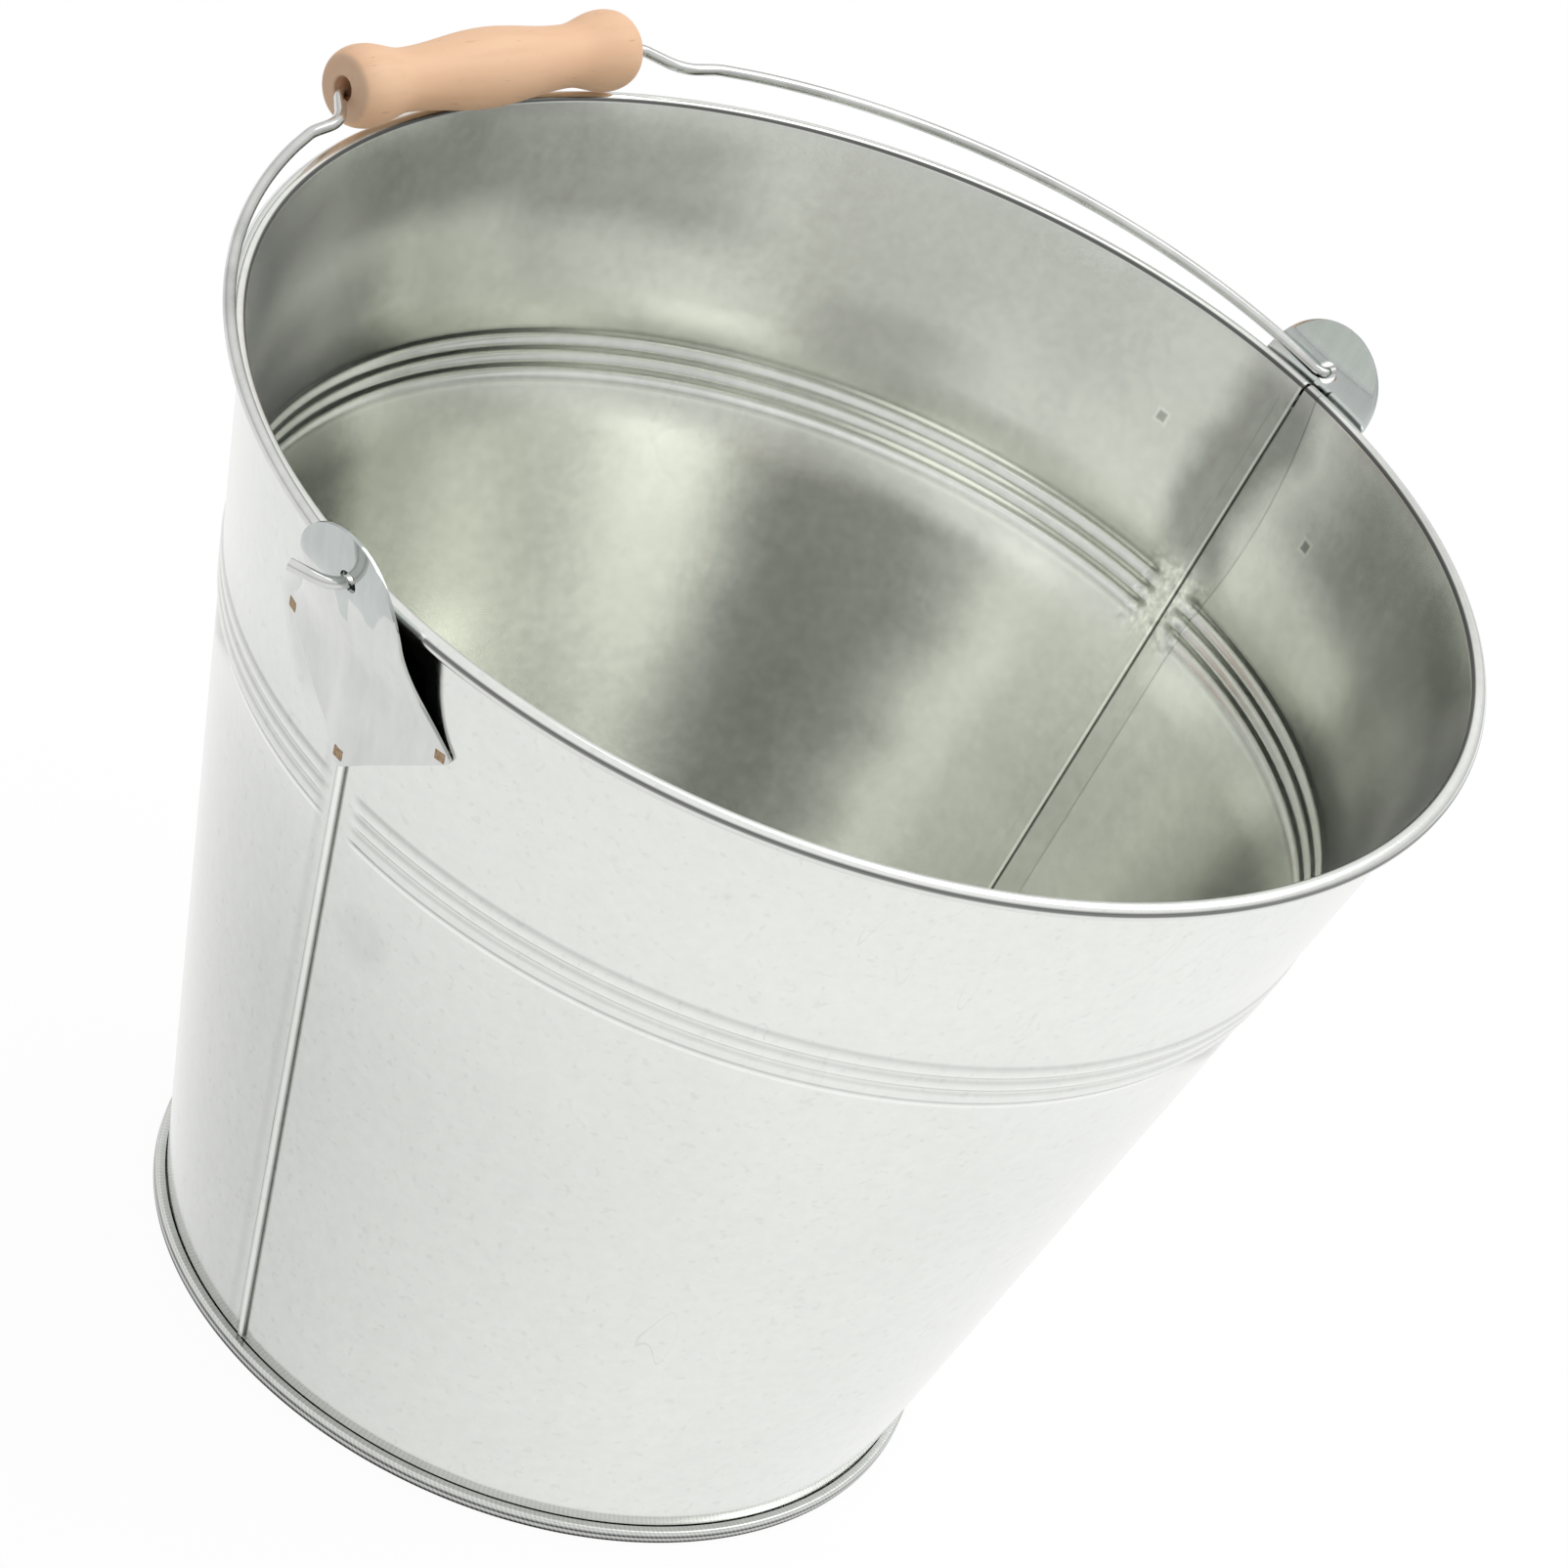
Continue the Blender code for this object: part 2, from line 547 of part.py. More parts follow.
def ear_mesh(material):
    """Pressed ear with the bail's hole and three weld holes, at the -X side."""
    bm = bmesh.new()
    rows = []
    for height in ear_heights():
        half = ear_half_width(height)
        rows.append([bm.verts.new(ear_point(share * half, height)) for share in EAR_COLUMN_SHARES])
    for first, second in zip(rows, rows[1:]):
        for i in range(len(first) - 1):
            bm.faces.new((first[i], first[i + 1], second[i + 1], second[i]))
    plate = add_object("ear_plate", finish_mesh("ear_plate", bm), material, Matrix.Identity(4))
    solidify = plate.modifiers.new("thickness", "SOLIDIFY")
    solidify.thickness = EAR_SHEET
    solidify.offset = 0
    solidify.use_even_offset = True
    reach = EAR_SHEET * 2
    bm = bmesh.new()
    bmesh.ops.create_cone(
        bm, cap_ends=True, segments=16, radius1=EAR_HOLE / 2, radius2=EAR_HOLE / 2, depth=reach * 2
    )
    cutters = [add_cutter("cut_eye", finish_mesh("cut_eye", bm), ear_frame(0.0, HINGE_HEIGHT), material)]
    for name, width, height in weld_places():
        mesh = block_mesh("cut_" + name, WELD_SIDE + 2 * WELD_CLEARANCE, -reach, reach)
        cutters.append(add_cutter("cut_" + name, mesh, ear_frame(width, height), material))
    for cutter in cutters:
        cut = plate.modifiers.new(cutter.name, "BOOLEAN")
        cut.operation = "DIFFERENCE"
        cut.object = cutter
    bpy.context.view_layer.update()
    graph = bpy.context.evaluated_depsgraph_get()
    mesh = bpy.data.meshes.new_from_object(plate.evaluated_get(graph))
    mesh.name = "ear"
    for made in [plate, *cutters]:
        bpy.data.objects.remove(made)
    return mesh


def fillet(path, radii):
    """Open 2D path with each inner corner rounded by an arc of the given radius."""
    rounded = [path[0]]
    for before, corner, after, radius in zip(path, path[1:], path[2:], radii):
        into = (corner - before).normalized()
        out = (after - corner).normalized()
        turn = math.atan2(into.x * out.y - into.y * out.x, into.dot(out))
        start = corner - into * radius * math.tan(abs(turn) / 2)
        side = math.copysign(1.0, turn)
        centre = start + Vector((-into.y, into.x)) * side * radius
        first = math.atan2(start.y - centre.y, start.x - centre.x)
        steps = max(1, math.ceil(abs(turn) / BEND_STEP))
        rounded += arc(centre, radius, first, first + turn, steps)
    rounded.append(path[-1])
    return rounded


def bail_oval(width):
    """How far out the bail's sweep lies from the hinge line, at a distance from its middle."""
    return BAIL_DEPTH * math.sqrt(1 - (width / BAIL_SIDE_RADIUS) ** 2)


def bail_half_path():
    """Centre line of half the bail, from the middle of the grip to the free end, in the bail's plane."""
    sweep_start = Vector((BAIL_SWEEP_WIDTH, bail_oval(BAIL_SWEEP_WIDTH)))
    first = math.asin(BAIL_SWEEP_WIDTH / BAIL_SIDE_RADIUS)
    last = math.acos(BAIL_EYE_BEND / BAIL_DEPTH)
    sweep = []
    for step in range(1, BAIL_SWEEP_STEPS + 1):
        angle = first + (last - first) * step / BAIL_SWEEP_STEPS
        sweep.append(Vector((BAIL_SIDE_RADIUS * math.sin(angle), BAIL_DEPTH * math.cos(angle))))
    corners = [
        Vector((0, BAIL_HAND_DEPTH)),
        Vector((BAIL_STRAIGHT_HALF, BAIL_HAND_DEPTH)),
        Vector((BAIL_DIP_WIDTH, BAIL_DIP_DEPTH)),
        sweep_start,
        sweep[0],
    ]
    hand = fillet(corners, (BAIL_HAND_BEND, BAIL_DIP_BEND, BAIL_SWEEP_BEND))
    tail_start = Vector((HINGE_RADIUS + BAIL_TAIL_START, 0))
    tail_run = Vector((math.cos(BAIL_TAIL_ANGLE), math.sin(BAIL_TAIL_ANGLE)))
    eye = [
        sweep[-1],
        Vector((BAIL_SIDE_RADIUS, 0)),
        tail_start,
        tail_start + tail_run * BAIL_TAIL_LENGTH,
    ]
    return hand + sweep[1:-1] + fillet(eye, (BAIL_EYE_BEND, BAIL_TAIL_BEND))[1:]


def bail_curve():
    """Round wire along the whole centre line, with flat ends."""
    half = bail_half_path()
    path = [Vector((-point.x, point.y)) for point in reversed(half[1:])] + half
    curve = bpy.data.curves.new("bail_wire", "CURVE")
    curve.dimensions = "3D"
    curve.bevel_depth = BAIL_WIRE / 2
    curve.bevel_resolution = 2
    curve.use_fill_caps = True
    spline = curve.splines.new("POLY")
    spline.points.add(len(path) - 1)
    for target, point in zip(spline.points, path):
        target.co = (point.x, point.y, 0.0, 1.0)
    return curve


def bail_rest_angle():
    """Angle of the bail's plane above level where the grip, lifted off the wire, meets the rim."""
    reach = math.hypot(ROLL_CENTRE_RADIUS, ROLL_CENTRE_HEIGHT - HINGE_HEIGHT)
    below = math.atan2(HINGE_HEIGHT - ROLL_CENTRE_HEIGHT, ROLL_CENTRE_RADIUS)
    apart = GRIP_MIDDLE_RADIUS + ROLL_RADIUS + GRIP_REST_GAP
    hand = math.hypot(BAIL_HAND_DEPTH, GRIP_LIFT)
    between = math.acos((hand * hand + reach * reach - apart * apart) / (2 * hand * reach))
    return between - below - math.atan2(GRIP_LIFT, BAIL_HAND_DEPTH)


def grip_mesh():
    """Turned grip: a swell in the middle, a neck each side, a bulb at each end and a bore."""
    half = GRIP_LENGTH / 2
    spans = [
        (0.0, GRIP_MIDDLE_RADIUS, GRIP_NECK_PLACE, GRIP_NECK_RADIUS),
        (GRIP_NECK_PLACE, GRIP_NECK_RADIUS, GRIP_BULB_PLACE, GRIP_BULB_RADIUS),
    ]
    side = []
    for start, start_radius, end, end_radius in spans:
        for step in range(GRIP_SPAN_STEPS):
            share = step / GRIP_SPAN_STEPS
            swing = (1 - math.cos(math.pi * share)) / 2
            side.append((start_radius + (end_radius - start_radius) * swing, start + (end - start) * share))
    for step in range(GRIP_END_STEPS + 1):
        turn = math.pi / 2 * step / GRIP_END_STEPS
        radius = GRIP_FACE_RADIUS + (GRIP_BULB_RADIUS - GRIP_FACE_RADIUS) * math.cos(turn)
        side.append((radius, GRIP_BULB_PLACE + (half - GRIP_BULB_PLACE) * math.sin(turn)))
    outside = [(radius, -place) for radius, place in reversed(side[1:])] + side
    bore = [(GRIP_BORE / 2, half), (GRIP_BORE / 2, -half)]
    angles = [2 * math.pi * i / GRIP_SIDES for i in range(GRIP_SIDES)]
    return turned_mesh("grip", outside + bore, angles, axis="X")


def build_pail(galvanised, bare_base, wire_steel):
    shell = shell_mesh()
    add_object("shell_half_back", shell, galvanised, FOOT)
    add_object("shell_half_front", shell, galvanised, FOOT @ HALF_TURN)
    add_object("base_disc", base_mesh(), bare_base, FOOT)
    add_object("rim_wire", rim_wire_mesh(), wire_steel, FOOT)


def build_ears(ear_steel, weld_brown):
    ear = ear_mesh(ear_steel)
    low = WELD_SEAT_GAP - EAR_CLEARANCE - EAR_SHEET / 2
    weld = block_mesh("spot_weld", WELD_SIDE, low, EAR_SHEET / 2 + WELD_PROUD)
    for hand, place in (("left", FOOT), ("right", FOOT @ HALF_TURN)):
        add_object("ear_" + hand, ear, ear_steel, place)
        for name, width, height in weld_places():
            add_object(f"weld_{hand}_{name}", weld, weld_brown, place @ ear_frame(width, height))


def build_bail(wire_steel, beech):
    hinge = FOOT @ Matrix.Translation((0, 0, HINGE_HEIGHT))
    rest = Matrix.Rotation(bail_rest_angle(), 4, "X")
    hand = Matrix.Translation((GRIP_SLIDE, BAIL_HAND_DEPTH, GRIP_LIFT))
    add_object("bail_wire", bail_curve(), wire_steel, hinge @ rest)
    add_object("grip", grip_mesh(), beech, hinge @ rest @ hand)


def main():
    for made in list(bpy.data.objects):
        bpy.data.objects.remove(made)
    galvanised = make_material("galvanised_sheet", (0.72, 0.73, 0.71), 0.35, 0.9)
    bare_base = make_material("galvanised_base", (0.66, 0.67, 0.65), 0.42, 0.9)
    ear_steel = make_material("bright_ear", (0.76, 0.78, 0.77), 0.22, 0.95)
    weld_brown = make_material("weld_scale", (0.36, 0.24, 0.14), 0.6, 0.4)
    wire_steel = make_material("zinc_wire", (0.58, 0.58, 0.57), 0.3, 0.95)
    beech = make_material("turned_beech", (0.83, 0.60, 0.42), 0.55, 0.0)
    build_pail(galvanised, bare_base, wire_steel)
    build_ears(ear_steel, weld_brown)
    build_bail(wire_steel, beech)


main()
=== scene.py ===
# %% [markdown]
# Galvanised pail with a folding wire bail and a turned wooden grip.
#
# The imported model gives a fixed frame: every solid of the pail at its real place, in metres, with
# +Z up. The origin is the middle of the base's underside, and the foot ring reaches 3.75 mm lower.
# This script keeps that frame and dresses it with finer pieces and finishes.

import math

import bmesh
import bpy
from mathutils import Matrix, Vector


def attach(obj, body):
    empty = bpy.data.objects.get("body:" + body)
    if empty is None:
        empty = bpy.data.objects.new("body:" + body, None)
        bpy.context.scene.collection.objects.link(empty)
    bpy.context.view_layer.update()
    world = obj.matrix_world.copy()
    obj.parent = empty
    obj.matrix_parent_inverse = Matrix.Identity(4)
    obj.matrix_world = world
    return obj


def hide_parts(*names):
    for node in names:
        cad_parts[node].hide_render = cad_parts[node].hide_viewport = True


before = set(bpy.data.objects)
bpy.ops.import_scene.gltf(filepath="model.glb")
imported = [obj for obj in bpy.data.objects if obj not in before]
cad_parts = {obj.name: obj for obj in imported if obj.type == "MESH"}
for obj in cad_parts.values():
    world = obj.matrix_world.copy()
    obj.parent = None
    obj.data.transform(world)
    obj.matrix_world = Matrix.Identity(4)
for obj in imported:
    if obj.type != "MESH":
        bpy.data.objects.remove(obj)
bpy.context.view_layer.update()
MM = 0.001

# %% [markdown]
# The camera stands where the photograph was taken from, as solved from the ellipses of the rim and
# the foot. A long lens gives the flat perspective of a product picture.

# %% Camera
bpy.ops.object.camera_add(
    location=(-1.0771999, -0.7843866, 1.0416565),
    rotation=(math.radians(54.13777), math.radians(-19.29546), math.radians(-40.93470)),
)
camera = bpy.context.object
camera.data.sensor_width = 36.0
camera.data.lens = 153.8928
bpy.context.scene.camera = camera
print("camera at", [round(value, 3) for value in camera.location])

# %% [markdown]
# Modelling by hand means three habits: clear the selection, open one mesh, and choose points by
# where they are. These helpers keep them.

# %% Selection helpers
def choose_only(*pieces):
    """Selects these pieces and nothing else, and makes the first one active."""
    bpy.ops.object.select_all(action="DESELECT")
    for piece in pieces:
        piece.select_set(True)
    bpy.context.view_layer.objects.active = pieces[0]


def open_mesh(piece):
    """Makes a piece active on its own and opens its mesh for editing."""
    choose_only(piece)
    bpy.ops.object.mode_set(mode="EDIT")
    bpy.ops.mesh.select_mode(type="VERT")


def close_mesh():
    bpy.ops.object.mode_set(mode="OBJECT")


def pick(test, faces=False):
    """Selects the vertices whose place, or the faces whose centre, passes a test."""
    data = bpy.context.object.data
    mesh = bmesh.from_edit_mesh(data)
    if faces:
        bpy.ops.mesh.select_mode(type="FACE")
        for face in mesh.faces:
            face.select = test(face.calc_center_median())
    else:
        for vertex in mesh.verts:
            vertex.select = test(vertex.co)
    mesh.select_flush_mode()
    bmesh.update_edit_mesh(data, loop_triangles=False, destructive=False)


def pick_all():
    bpy.ops.mesh.select_all(action="SELECT")


def merge_close_points(distance=0.005 * MM):
    """Merges the points of the open mesh that lie almost on each other."""
    pick_all()
    bpy.ops.mesh.remove_doubles(threshold=distance)


def face_outward():
    """Turns all faces of the open mesh outward."""
    pick_all()
    bpy.ops.mesh.normals_make_consistent(inside=False)


print("selection helpers ready")

# %% [markdown]
# Most of a pail is turned or rolled, so most pieces begin as a line: one vertex is extruded from
# point to point along the section. Spinning that line round the axis gives the whole surface at
# once.

# %% Lines and turned pieces
SMOOTH_ANGLE = math.radians(35)


def start_line(name, points):
    """A new mesh that holds one line through the points. It stays open for editing."""
    bpy.ops.mesh.primitive_plane_add(size=MM)
    piece = bpy.context.object
    piece.name = piece.data.name = name
    open_mesh(piece)
    pick_all()
    bpy.ops.mesh.merge(type="CENTER")
    bpy.ops.transform.translate(value=Vector(points[0]))
    extend_line(points)
    return piece


def extend_line(points):
    """Extrudes what is selected from the first point through all the others."""
    for start, end in zip(points, points[1:]):
        step = Vector(end) - Vector(start)
        bpy.ops.mesh.extrude_region_move(TRANSFORM_OT_translate={"value": step})


def turned(name, section, steps, centre=(0, 0, 0), axis=(0, 0, 1)):
    """Spins a section once round an axis and joins the seam and the poles."""
    piece = start_line(name, section)
    pick_all()
    bpy.ops.mesh.spin(steps=steps, angle=2 * math.pi, center=centre, axis=axis)
    merge_close_points()
    face_outward()
    return piece


def apply_modifier(piece, kind, **settings):
    """Adds a modifier with these settings and applies it at once."""
    choose_only(piece)
    made = piece.modifiers.new(kind.lower(), kind)
    for key, value in settings.items():
        setattr(made, key, value)
    bpy.ops.object.modifier_apply(modifier=made.name)


def thicken(piece, thickness):
    """Gives a surface the thickness of its sheet, half on each side."""
    apply_modifier(piece, "SOLIDIFY", thickness=thickness, offset=0.0, use_even_offset=True)


def soften_edges(piece, width, angle):
    """Bevels the edges at which the surface turns by more than an angle in degrees."""
    limit = math.radians(angle)
    apply_modifier(piece, "BEVEL", width=width, segments=2, limit_method="ANGLE", angle_limit=limit)


def finish_piece(piece, body, slot, material, *replaced):
    """Smooths a piece, gives it its material, and ties it to its body of the frame."""
    choose_only(piece)
    bpy.ops.object.shade_smooth_by_angle(angle=SMOOTH_ANGLE)
    piece.data.materials.clear()
    piece.data.materials.append(material)
    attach(piece, body)
    if replaced:
        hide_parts(*replaced)
    print(piece.name, "has", len(piece.data.polygons), "faces")


def arc(centre, radius, first, last, steps):
    """Points on an arc in a plane, both ends included. Angles in degrees."""
    across, up = centre
    turns = [math.radians(first + (last - first) * step / steps) for step in range(steps + 1)]
    return [(across + radius * math.cos(turn), up + radius * math.sin(turn)) for turn in turns]


print("line and lathe helpers ready")

# %% [markdown]
# Shader maths reads best as plain expressions. This class wraps one socket, so that a mask times a
# noise plus a number writes its own Math nodes.

# %% Shader maths
class Signal:
    """One output socket that takes part in expressions."""

    def __init__(self, tree, socket=None):
        self.tree = tree
        self.socket = socket

    def node(self, kind, sockets=None, settings=None, output=0):
        """Adds a node: its settings first, then the values or links of its sockets."""
        made = self.tree.nodes.new(kind)
        for key, value in (settings or {}).items():
            if key == "stops":
                ramp = made.color_ramp
                while len(ramp.elements) < len(value):
                    ramp.elements.new(0.5)
                for element, (place, level) in zip(ramp.elements, value):
                    element.position = place
                    element.color = (level, level, level, 1.0)
            else:
                setattr(made, key, value)
        for key, value in (sockets or {}).items():
            if isinstance(value, Signal):
                self.tree.links.new(value.socket, made.inputs[key])
            else:
                made.inputs[key].default_value = value
        return Signal(self.tree, made.outputs[output]) if made.outputs else made

    def math(self, operation, first, second=0.0, clamp=False):
        settings = {"operation": operation, "use_clamp": clamp}
        return self.node("ShaderNodeMath", {0: first, 1: second}, settings)

    def __add__(self, other):
        return self.math("ADD", self, other)

    def __sub__(self, other):
        return self.math("SUBTRACT", self, other)

    def __rsub__(self, other):
        return self.math("SUBTRACT", other, self)

    def __mul__(self, other):
        return self.math("MULTIPLY", self, other)

    def __truediv__(self, other):
        return self.math("DIVIDE", self, other)

    def __pow__(self, other):
        return self.math("POWER", self, other)

    def __abs__(self):
        return self.math("ABSOLUTE", self)

    __radd__ = __add__
    __rmul__ = __mul__

    def clamp(self):
        return self.math("ADD", self, 0.0, clamp=True)

    def step_up(self, low, high):
        """0 below low, 1 above high, and a smooth rise between."""
        settings = {"interpolation_type": "SMOOTHSTEP"}
        return self.node("ShaderNodeMapRange", {0: self, 1: low, 2: high}, settings)

    def blend(self, first, second):
        """Colour that runs from the first to the second as this mask rises."""
        sockets = {0: self, 6: first, 7: second}
        return self.node("ShaderNodeMix", sockets, {"data_type": "RGBA"}, output=2)

    def ramp(self, stops, start, span):
        """Level at this value, from (value, level) stops within a span that begins at start."""
        stops = [((value - start) / span, level) for value, level in stops]
        return self.node("ShaderNodeValToRGB", {0: (self - start) / span}, {"stops": stops})

    def parts(self):
        """The three parts of a vector, each as a signal."""
        split = self.node("ShaderNodeSeparateXYZ", {0: self})
        return [Signal(self.tree, split.socket.node.outputs[axis]) for axis in "XYZ"]


print("shader maths ready")

# %% [markdown]
# Every finish starts with an empty material and the piece's own coordinates and ends with a
# Principled shader. The coordinates are Object coordinates, so a pattern stays put when a body
# moves.

# %% Start of a finish
BLACK = (0.0, 0.0, 0.0, 1.0)
ZINC_TINT = (0.985, 1.0, 0.965, 1.0)


def empty_tree(owner):
    """Clears the nodes of a material or a world, and gives a signal to build on."""
    owner.use_nodes = True
    owner.node_tree.nodes.clear()
    return Signal(owner.node_tree)


def new_finish(name):
    """A material without a shader yet, and a signal of the piece's own coordinates."""
    material = bpy.data.materials.new(name)
    return material, empty_tree(material).node("ShaderNodeTexCoord", output="Object")


def end_finish(places, colour, roughness, metallic, relief, depth, strength):
    """Joins the signals to a bump, a Principled shader and the material's output."""
    sockets = {"Height": relief, "Distance": depth, "Strength": strength}
    normal = places.node("ShaderNodeBump", sockets)
    sockets = {"Base Color": colour, "Roughness": roughness, "Metallic": metallic, "Normal": normal}
    shader = places.node("ShaderNodeBsdfPrincipled", sockets)
    places.node("ShaderNodeOutputMaterial", {"Surface": shader})


def tinted(level, tint):
    """The tint, made as light as the level says."""
    return level.clamp().blend(BLACK, tint)


def noise(places, scale, detail=2.0, roughness=0.5, stretch=(1, 1, 1), shift=(0, 0, 0)):
    """Noise from 0 to 1 on the piece's coordinates, stretched along an axis if asked."""
    mapping = {"Vector": places, "Scale": stretch, "Location": shift}
    mapped = places.node("ShaderNodeMapping", mapping)
    sockets = {"Vector": mapped, "Scale": scale, "Detail": detail, "Roughness": roughness}
    return places.node("ShaderNodeTexNoise", sockets)


print("finish helpers ready")

# %% [markdown]
# Sizes of the wall, the same as the solids have. Heights are taken from the foot, and every point
# is lowered by the 3.75 mm at which the foot stands below the origin.

# %% Wall sizes
FOOT_LEVEL = -3.75 * MM
SHEET = 0.5 * MM
FOOT_RADIUS = 97.5 * MM
CONE_START = 4.5 * MM
ROLL_CENTRE = (152.1 * MM, 247.9 * MM)
ROLL_RADIUS = 1.85 * MM
SEAM_LOW = 5.2 * MM
SEAM_TOP = 243.0 * MM

across = ROLL_CENTRE[0] - FOOT_RADIUS
up = ROLL_CENTRE[1] - CONE_START
WALL_LEAN = math.atan2(across, up) - math.asin(ROLL_RADIUS / math.hypot(across, up))
LEAN_OUT = math.cos(WALL_LEAN)
LEAN_DOWN = math.sin(WALL_LEAN)
print("wall lean", round(math.degrees(WALL_LEAN), 2), "degrees")


def wall_radius(height):
    """Radius of the sheet's middle on the cone."""
    return FOOT_RADIUS + (height - CONE_START) * math.tan(WALL_LEAN)


def eased(share):
    """A share kept between 0 and 1, with a soft start and end."""
    share = min(1.0, max(0.0, share))
    return share * share * (3 - 2 * share)


def standing(section):
    """Places in the frame of the (radius, height) points of a section."""
    return [(radius, 0.0, height + FOOT_LEVEL) for radius, height in section]


# %% [markdown]
# Hot-dip galvanised sheet is a satin metal: nearly white where it faces the light, grey-green where
# it only sees itself. Its finish is built in layers, and each layer is a number that says how much
# lighter or darker the zinc is painted there; many of them are painted shade, painted highlights
# and painted reflections. First come the places: the angle round the pail, the distance along the
# wall from the nearest seam, the height over the foot, and the side of the sheet.

# %% Places on the sheet
class Sheet:
    """Places on the rolled sheet, in millimetres and degrees, as signals."""

    def __init__(self, places):
        self.places = places
        x, y, z = places.parts()
        radius = places.math("SQRT", x * x + y * y)
        self.x = x * 1000.0
        self.y = y * 1000.0
        self.azimuth = places.math("ARCTAN2", y, x) * (180 / math.pi)
        self.height = (z - FOOT_LEVEL) * 1000.0
        self.along = self.y * (0.0 - places.math("SIGN", x))
        out_x, out_y, _ = places.node("ShaderNodeTexCoord", output="Normal").parts()
        outward = (out_x * x + out_y * y) / radius
        self.inside = 1.0 - outward.step_up(-0.12, 0.12)
        wrapped = {0: self.azimuth, 1: self.height, 2: radius * 20.0}
        self.wrapped = places.node("ShaderNodeCombineXYZ", wrapped)


def band(value, low, high, soft):
    """1 between two values and 0 beyond them, with a soft edge on both sides."""
    return value.step_up(low - soft, low + soft) * (1 - value.step_up(high - soft, high + soft))


def patch(azimuth, height, spot):
    """A soft patch of the wall."""
    left, right, low, high, side, end, amount = spot
    return band(azimuth, left, right, side) * band(height, low, high, end) * amount


print("sheet places ready")

# %% [markdown]
# Where two sheets meet, the gap between them lies in shade: above the foot ring, beside the lock
# seams, in the seam's groove inside and behind the upper part of each ear. That shade is painted in
# as a thin darker line, which keeps these joints crisp from every side. The roll has a painted dark
# reflection along both flanks, the wall has a painted shadow beside one edge of each ear, and the
# seam's fold and its lip inside have painted highlights.

# %% Painted shade and highlights at the joints
def joint_shade_and_highlights(sheet):
    """Painted shade at the joints, 0 to 1, and the painted highlight on the seam's fold."""
    along, height, inside = sheet.along, sheet.height, sheet.inside
    outside = 1 - inside
    # Painted reflection: a dark line along the roll's outer flank, and one on its inner flank.
    on_roll = band(height, 247.9, 248.9, 0.3) * 0.75
    on_roll = (on_roll + band(height, 245.5, 247.9, 0.3) * 0.08) * outside
    in_roll = band(height, 248.8, 249.6, 0.15) * inside * 0.85
    # Painted shade in the gap above the foot ring.
    foot_gap = (1 - height.step_up(3.9, 4.3)) * outside * 0.5
    below_ear = 1 - height.step_up(195.0, 196.0)
    # Painted shade beside the seam's fold and in the corner on its far side, outside.
    near_fold = band(along, -0.8, -0.2, 0.1) * 0.35
    far_fold = band(along, 1.5, 2.1, 0.1) * 0.5 + band(along, 4.8, 7.4, 1.0) * 0.08
    seam = (near_fold + far_fold) * outside * below_ear
    # Painted shade on the wall behind the upper part of each ear.
    reach = 18.1 + (239.1 - height) * 0.21
    shade_behind_ear = (reach - abs(sheet.y)).step_up(-0.12, 0.12) * outside * 0.6
    shade_behind_ear = shade_behind_ear * band(height, 222.5, 238.8, 0.2)
    # Painted shadow on the wall beside one edge of each ear.
    shadow_beside_ear = 1 - (along - 30.6 + abs(height - 220.0) * 0.6).step_up(0.0, 7.0)
    shadow_beside_ear = shadow_beside_ear * along.step_up(8.0, 20.0) * outside * 0.13
    shadow_beside_ear = shadow_beside_ear * band(height, 203.0, 240.0, 5.0)
    # Painted shade in the seam's groove inside.
    groove = band(along, 1.35, 2.1, 0.1) * inside * 0.6
    painted_darkening = (on_roll + in_roll + foot_gap + seam + shade_behind_ear + shadow_beside_ear + groove).clamp()
    # Painted highlights on the seam's fold outside and on its lip inside.
    fold_highlight = band(along, 0.0, 1.3, 0.2) * outside * below_ear * 0.14
    lip_highlight = band(along, 0.5, 1.1, 0.1) * inside * 0.2
    return painted_darkening, fold_highlight + lip_highlight


print("joint lines ready")

# %% [markdown]
# Each pressed bead shows a dark line and a bright line along it, from what its two flanks reflect;
# both are painted in as painted reflections. A colour ramp over the height holds the lines of each
# side, as heights in millimetres with a level: middle grey, 0.5, leaves the sheet as it is.

# %% Painted shading along the beads
# Painted reflections: a dark and a bright line along each bead, outside and inside.
OUTER_BEAD_SHADING = [(173.9, 0.5), (174.7, 0.60), (175.3, 0.5), (176.0, 0.26), (176.9, 0.5)]
OUTER_BEAD_SHADING += [(178.6, 0.51), (179.5, 0.40), (180.4, 0.5), (181.7, 0.54), (182.9, 0.5)]
OUTER_BEAD_SHADING += [(184.0, 0.37), (185.0, 0.5), (186.1, 0.55), (187.6, 0.5), (189.0, 0.35)]
OUTER_BEAD_SHADING += [(190.1, 0.5)]
INNER_BEAD_SHADING = [(173.5, 0.5), (174.5, 0.56), (175.9, 0.32), (177.0, 0.55), (178.0, 0.34)]
INNER_BEAD_SHADING += [(179.0, 0.50), (180.8, 0.32), (182.0, 0.50), (182.6, 0.38), (183.5, 0.48)]
INNER_BEAD_SHADING += [(184.9, 0.30), (186.5, 0.48), (187.4, 0.34), (188.3, 0.48), (189.4, 0.30)]
INNER_BEAD_SHADING += [(190.4, 0.5)]
LINES_START = 172.0
LINES_SPAN = 20.0


def painted_bead_shading(sheet, lines):
    """Painted reflection lines from -0.5 to 0.5 across the beads, fading beside the seams."""
    level = sheet.height.ramp(lines, LINES_START, LINES_SPAN)
    return (level - 0.5) * abs(sheet.y).step_up(3.7, 7.7)


print("bead lines:", len(OUTER_BEAD_SHADING), "stops outside and", len(INNER_BEAD_SHADING), "inside")
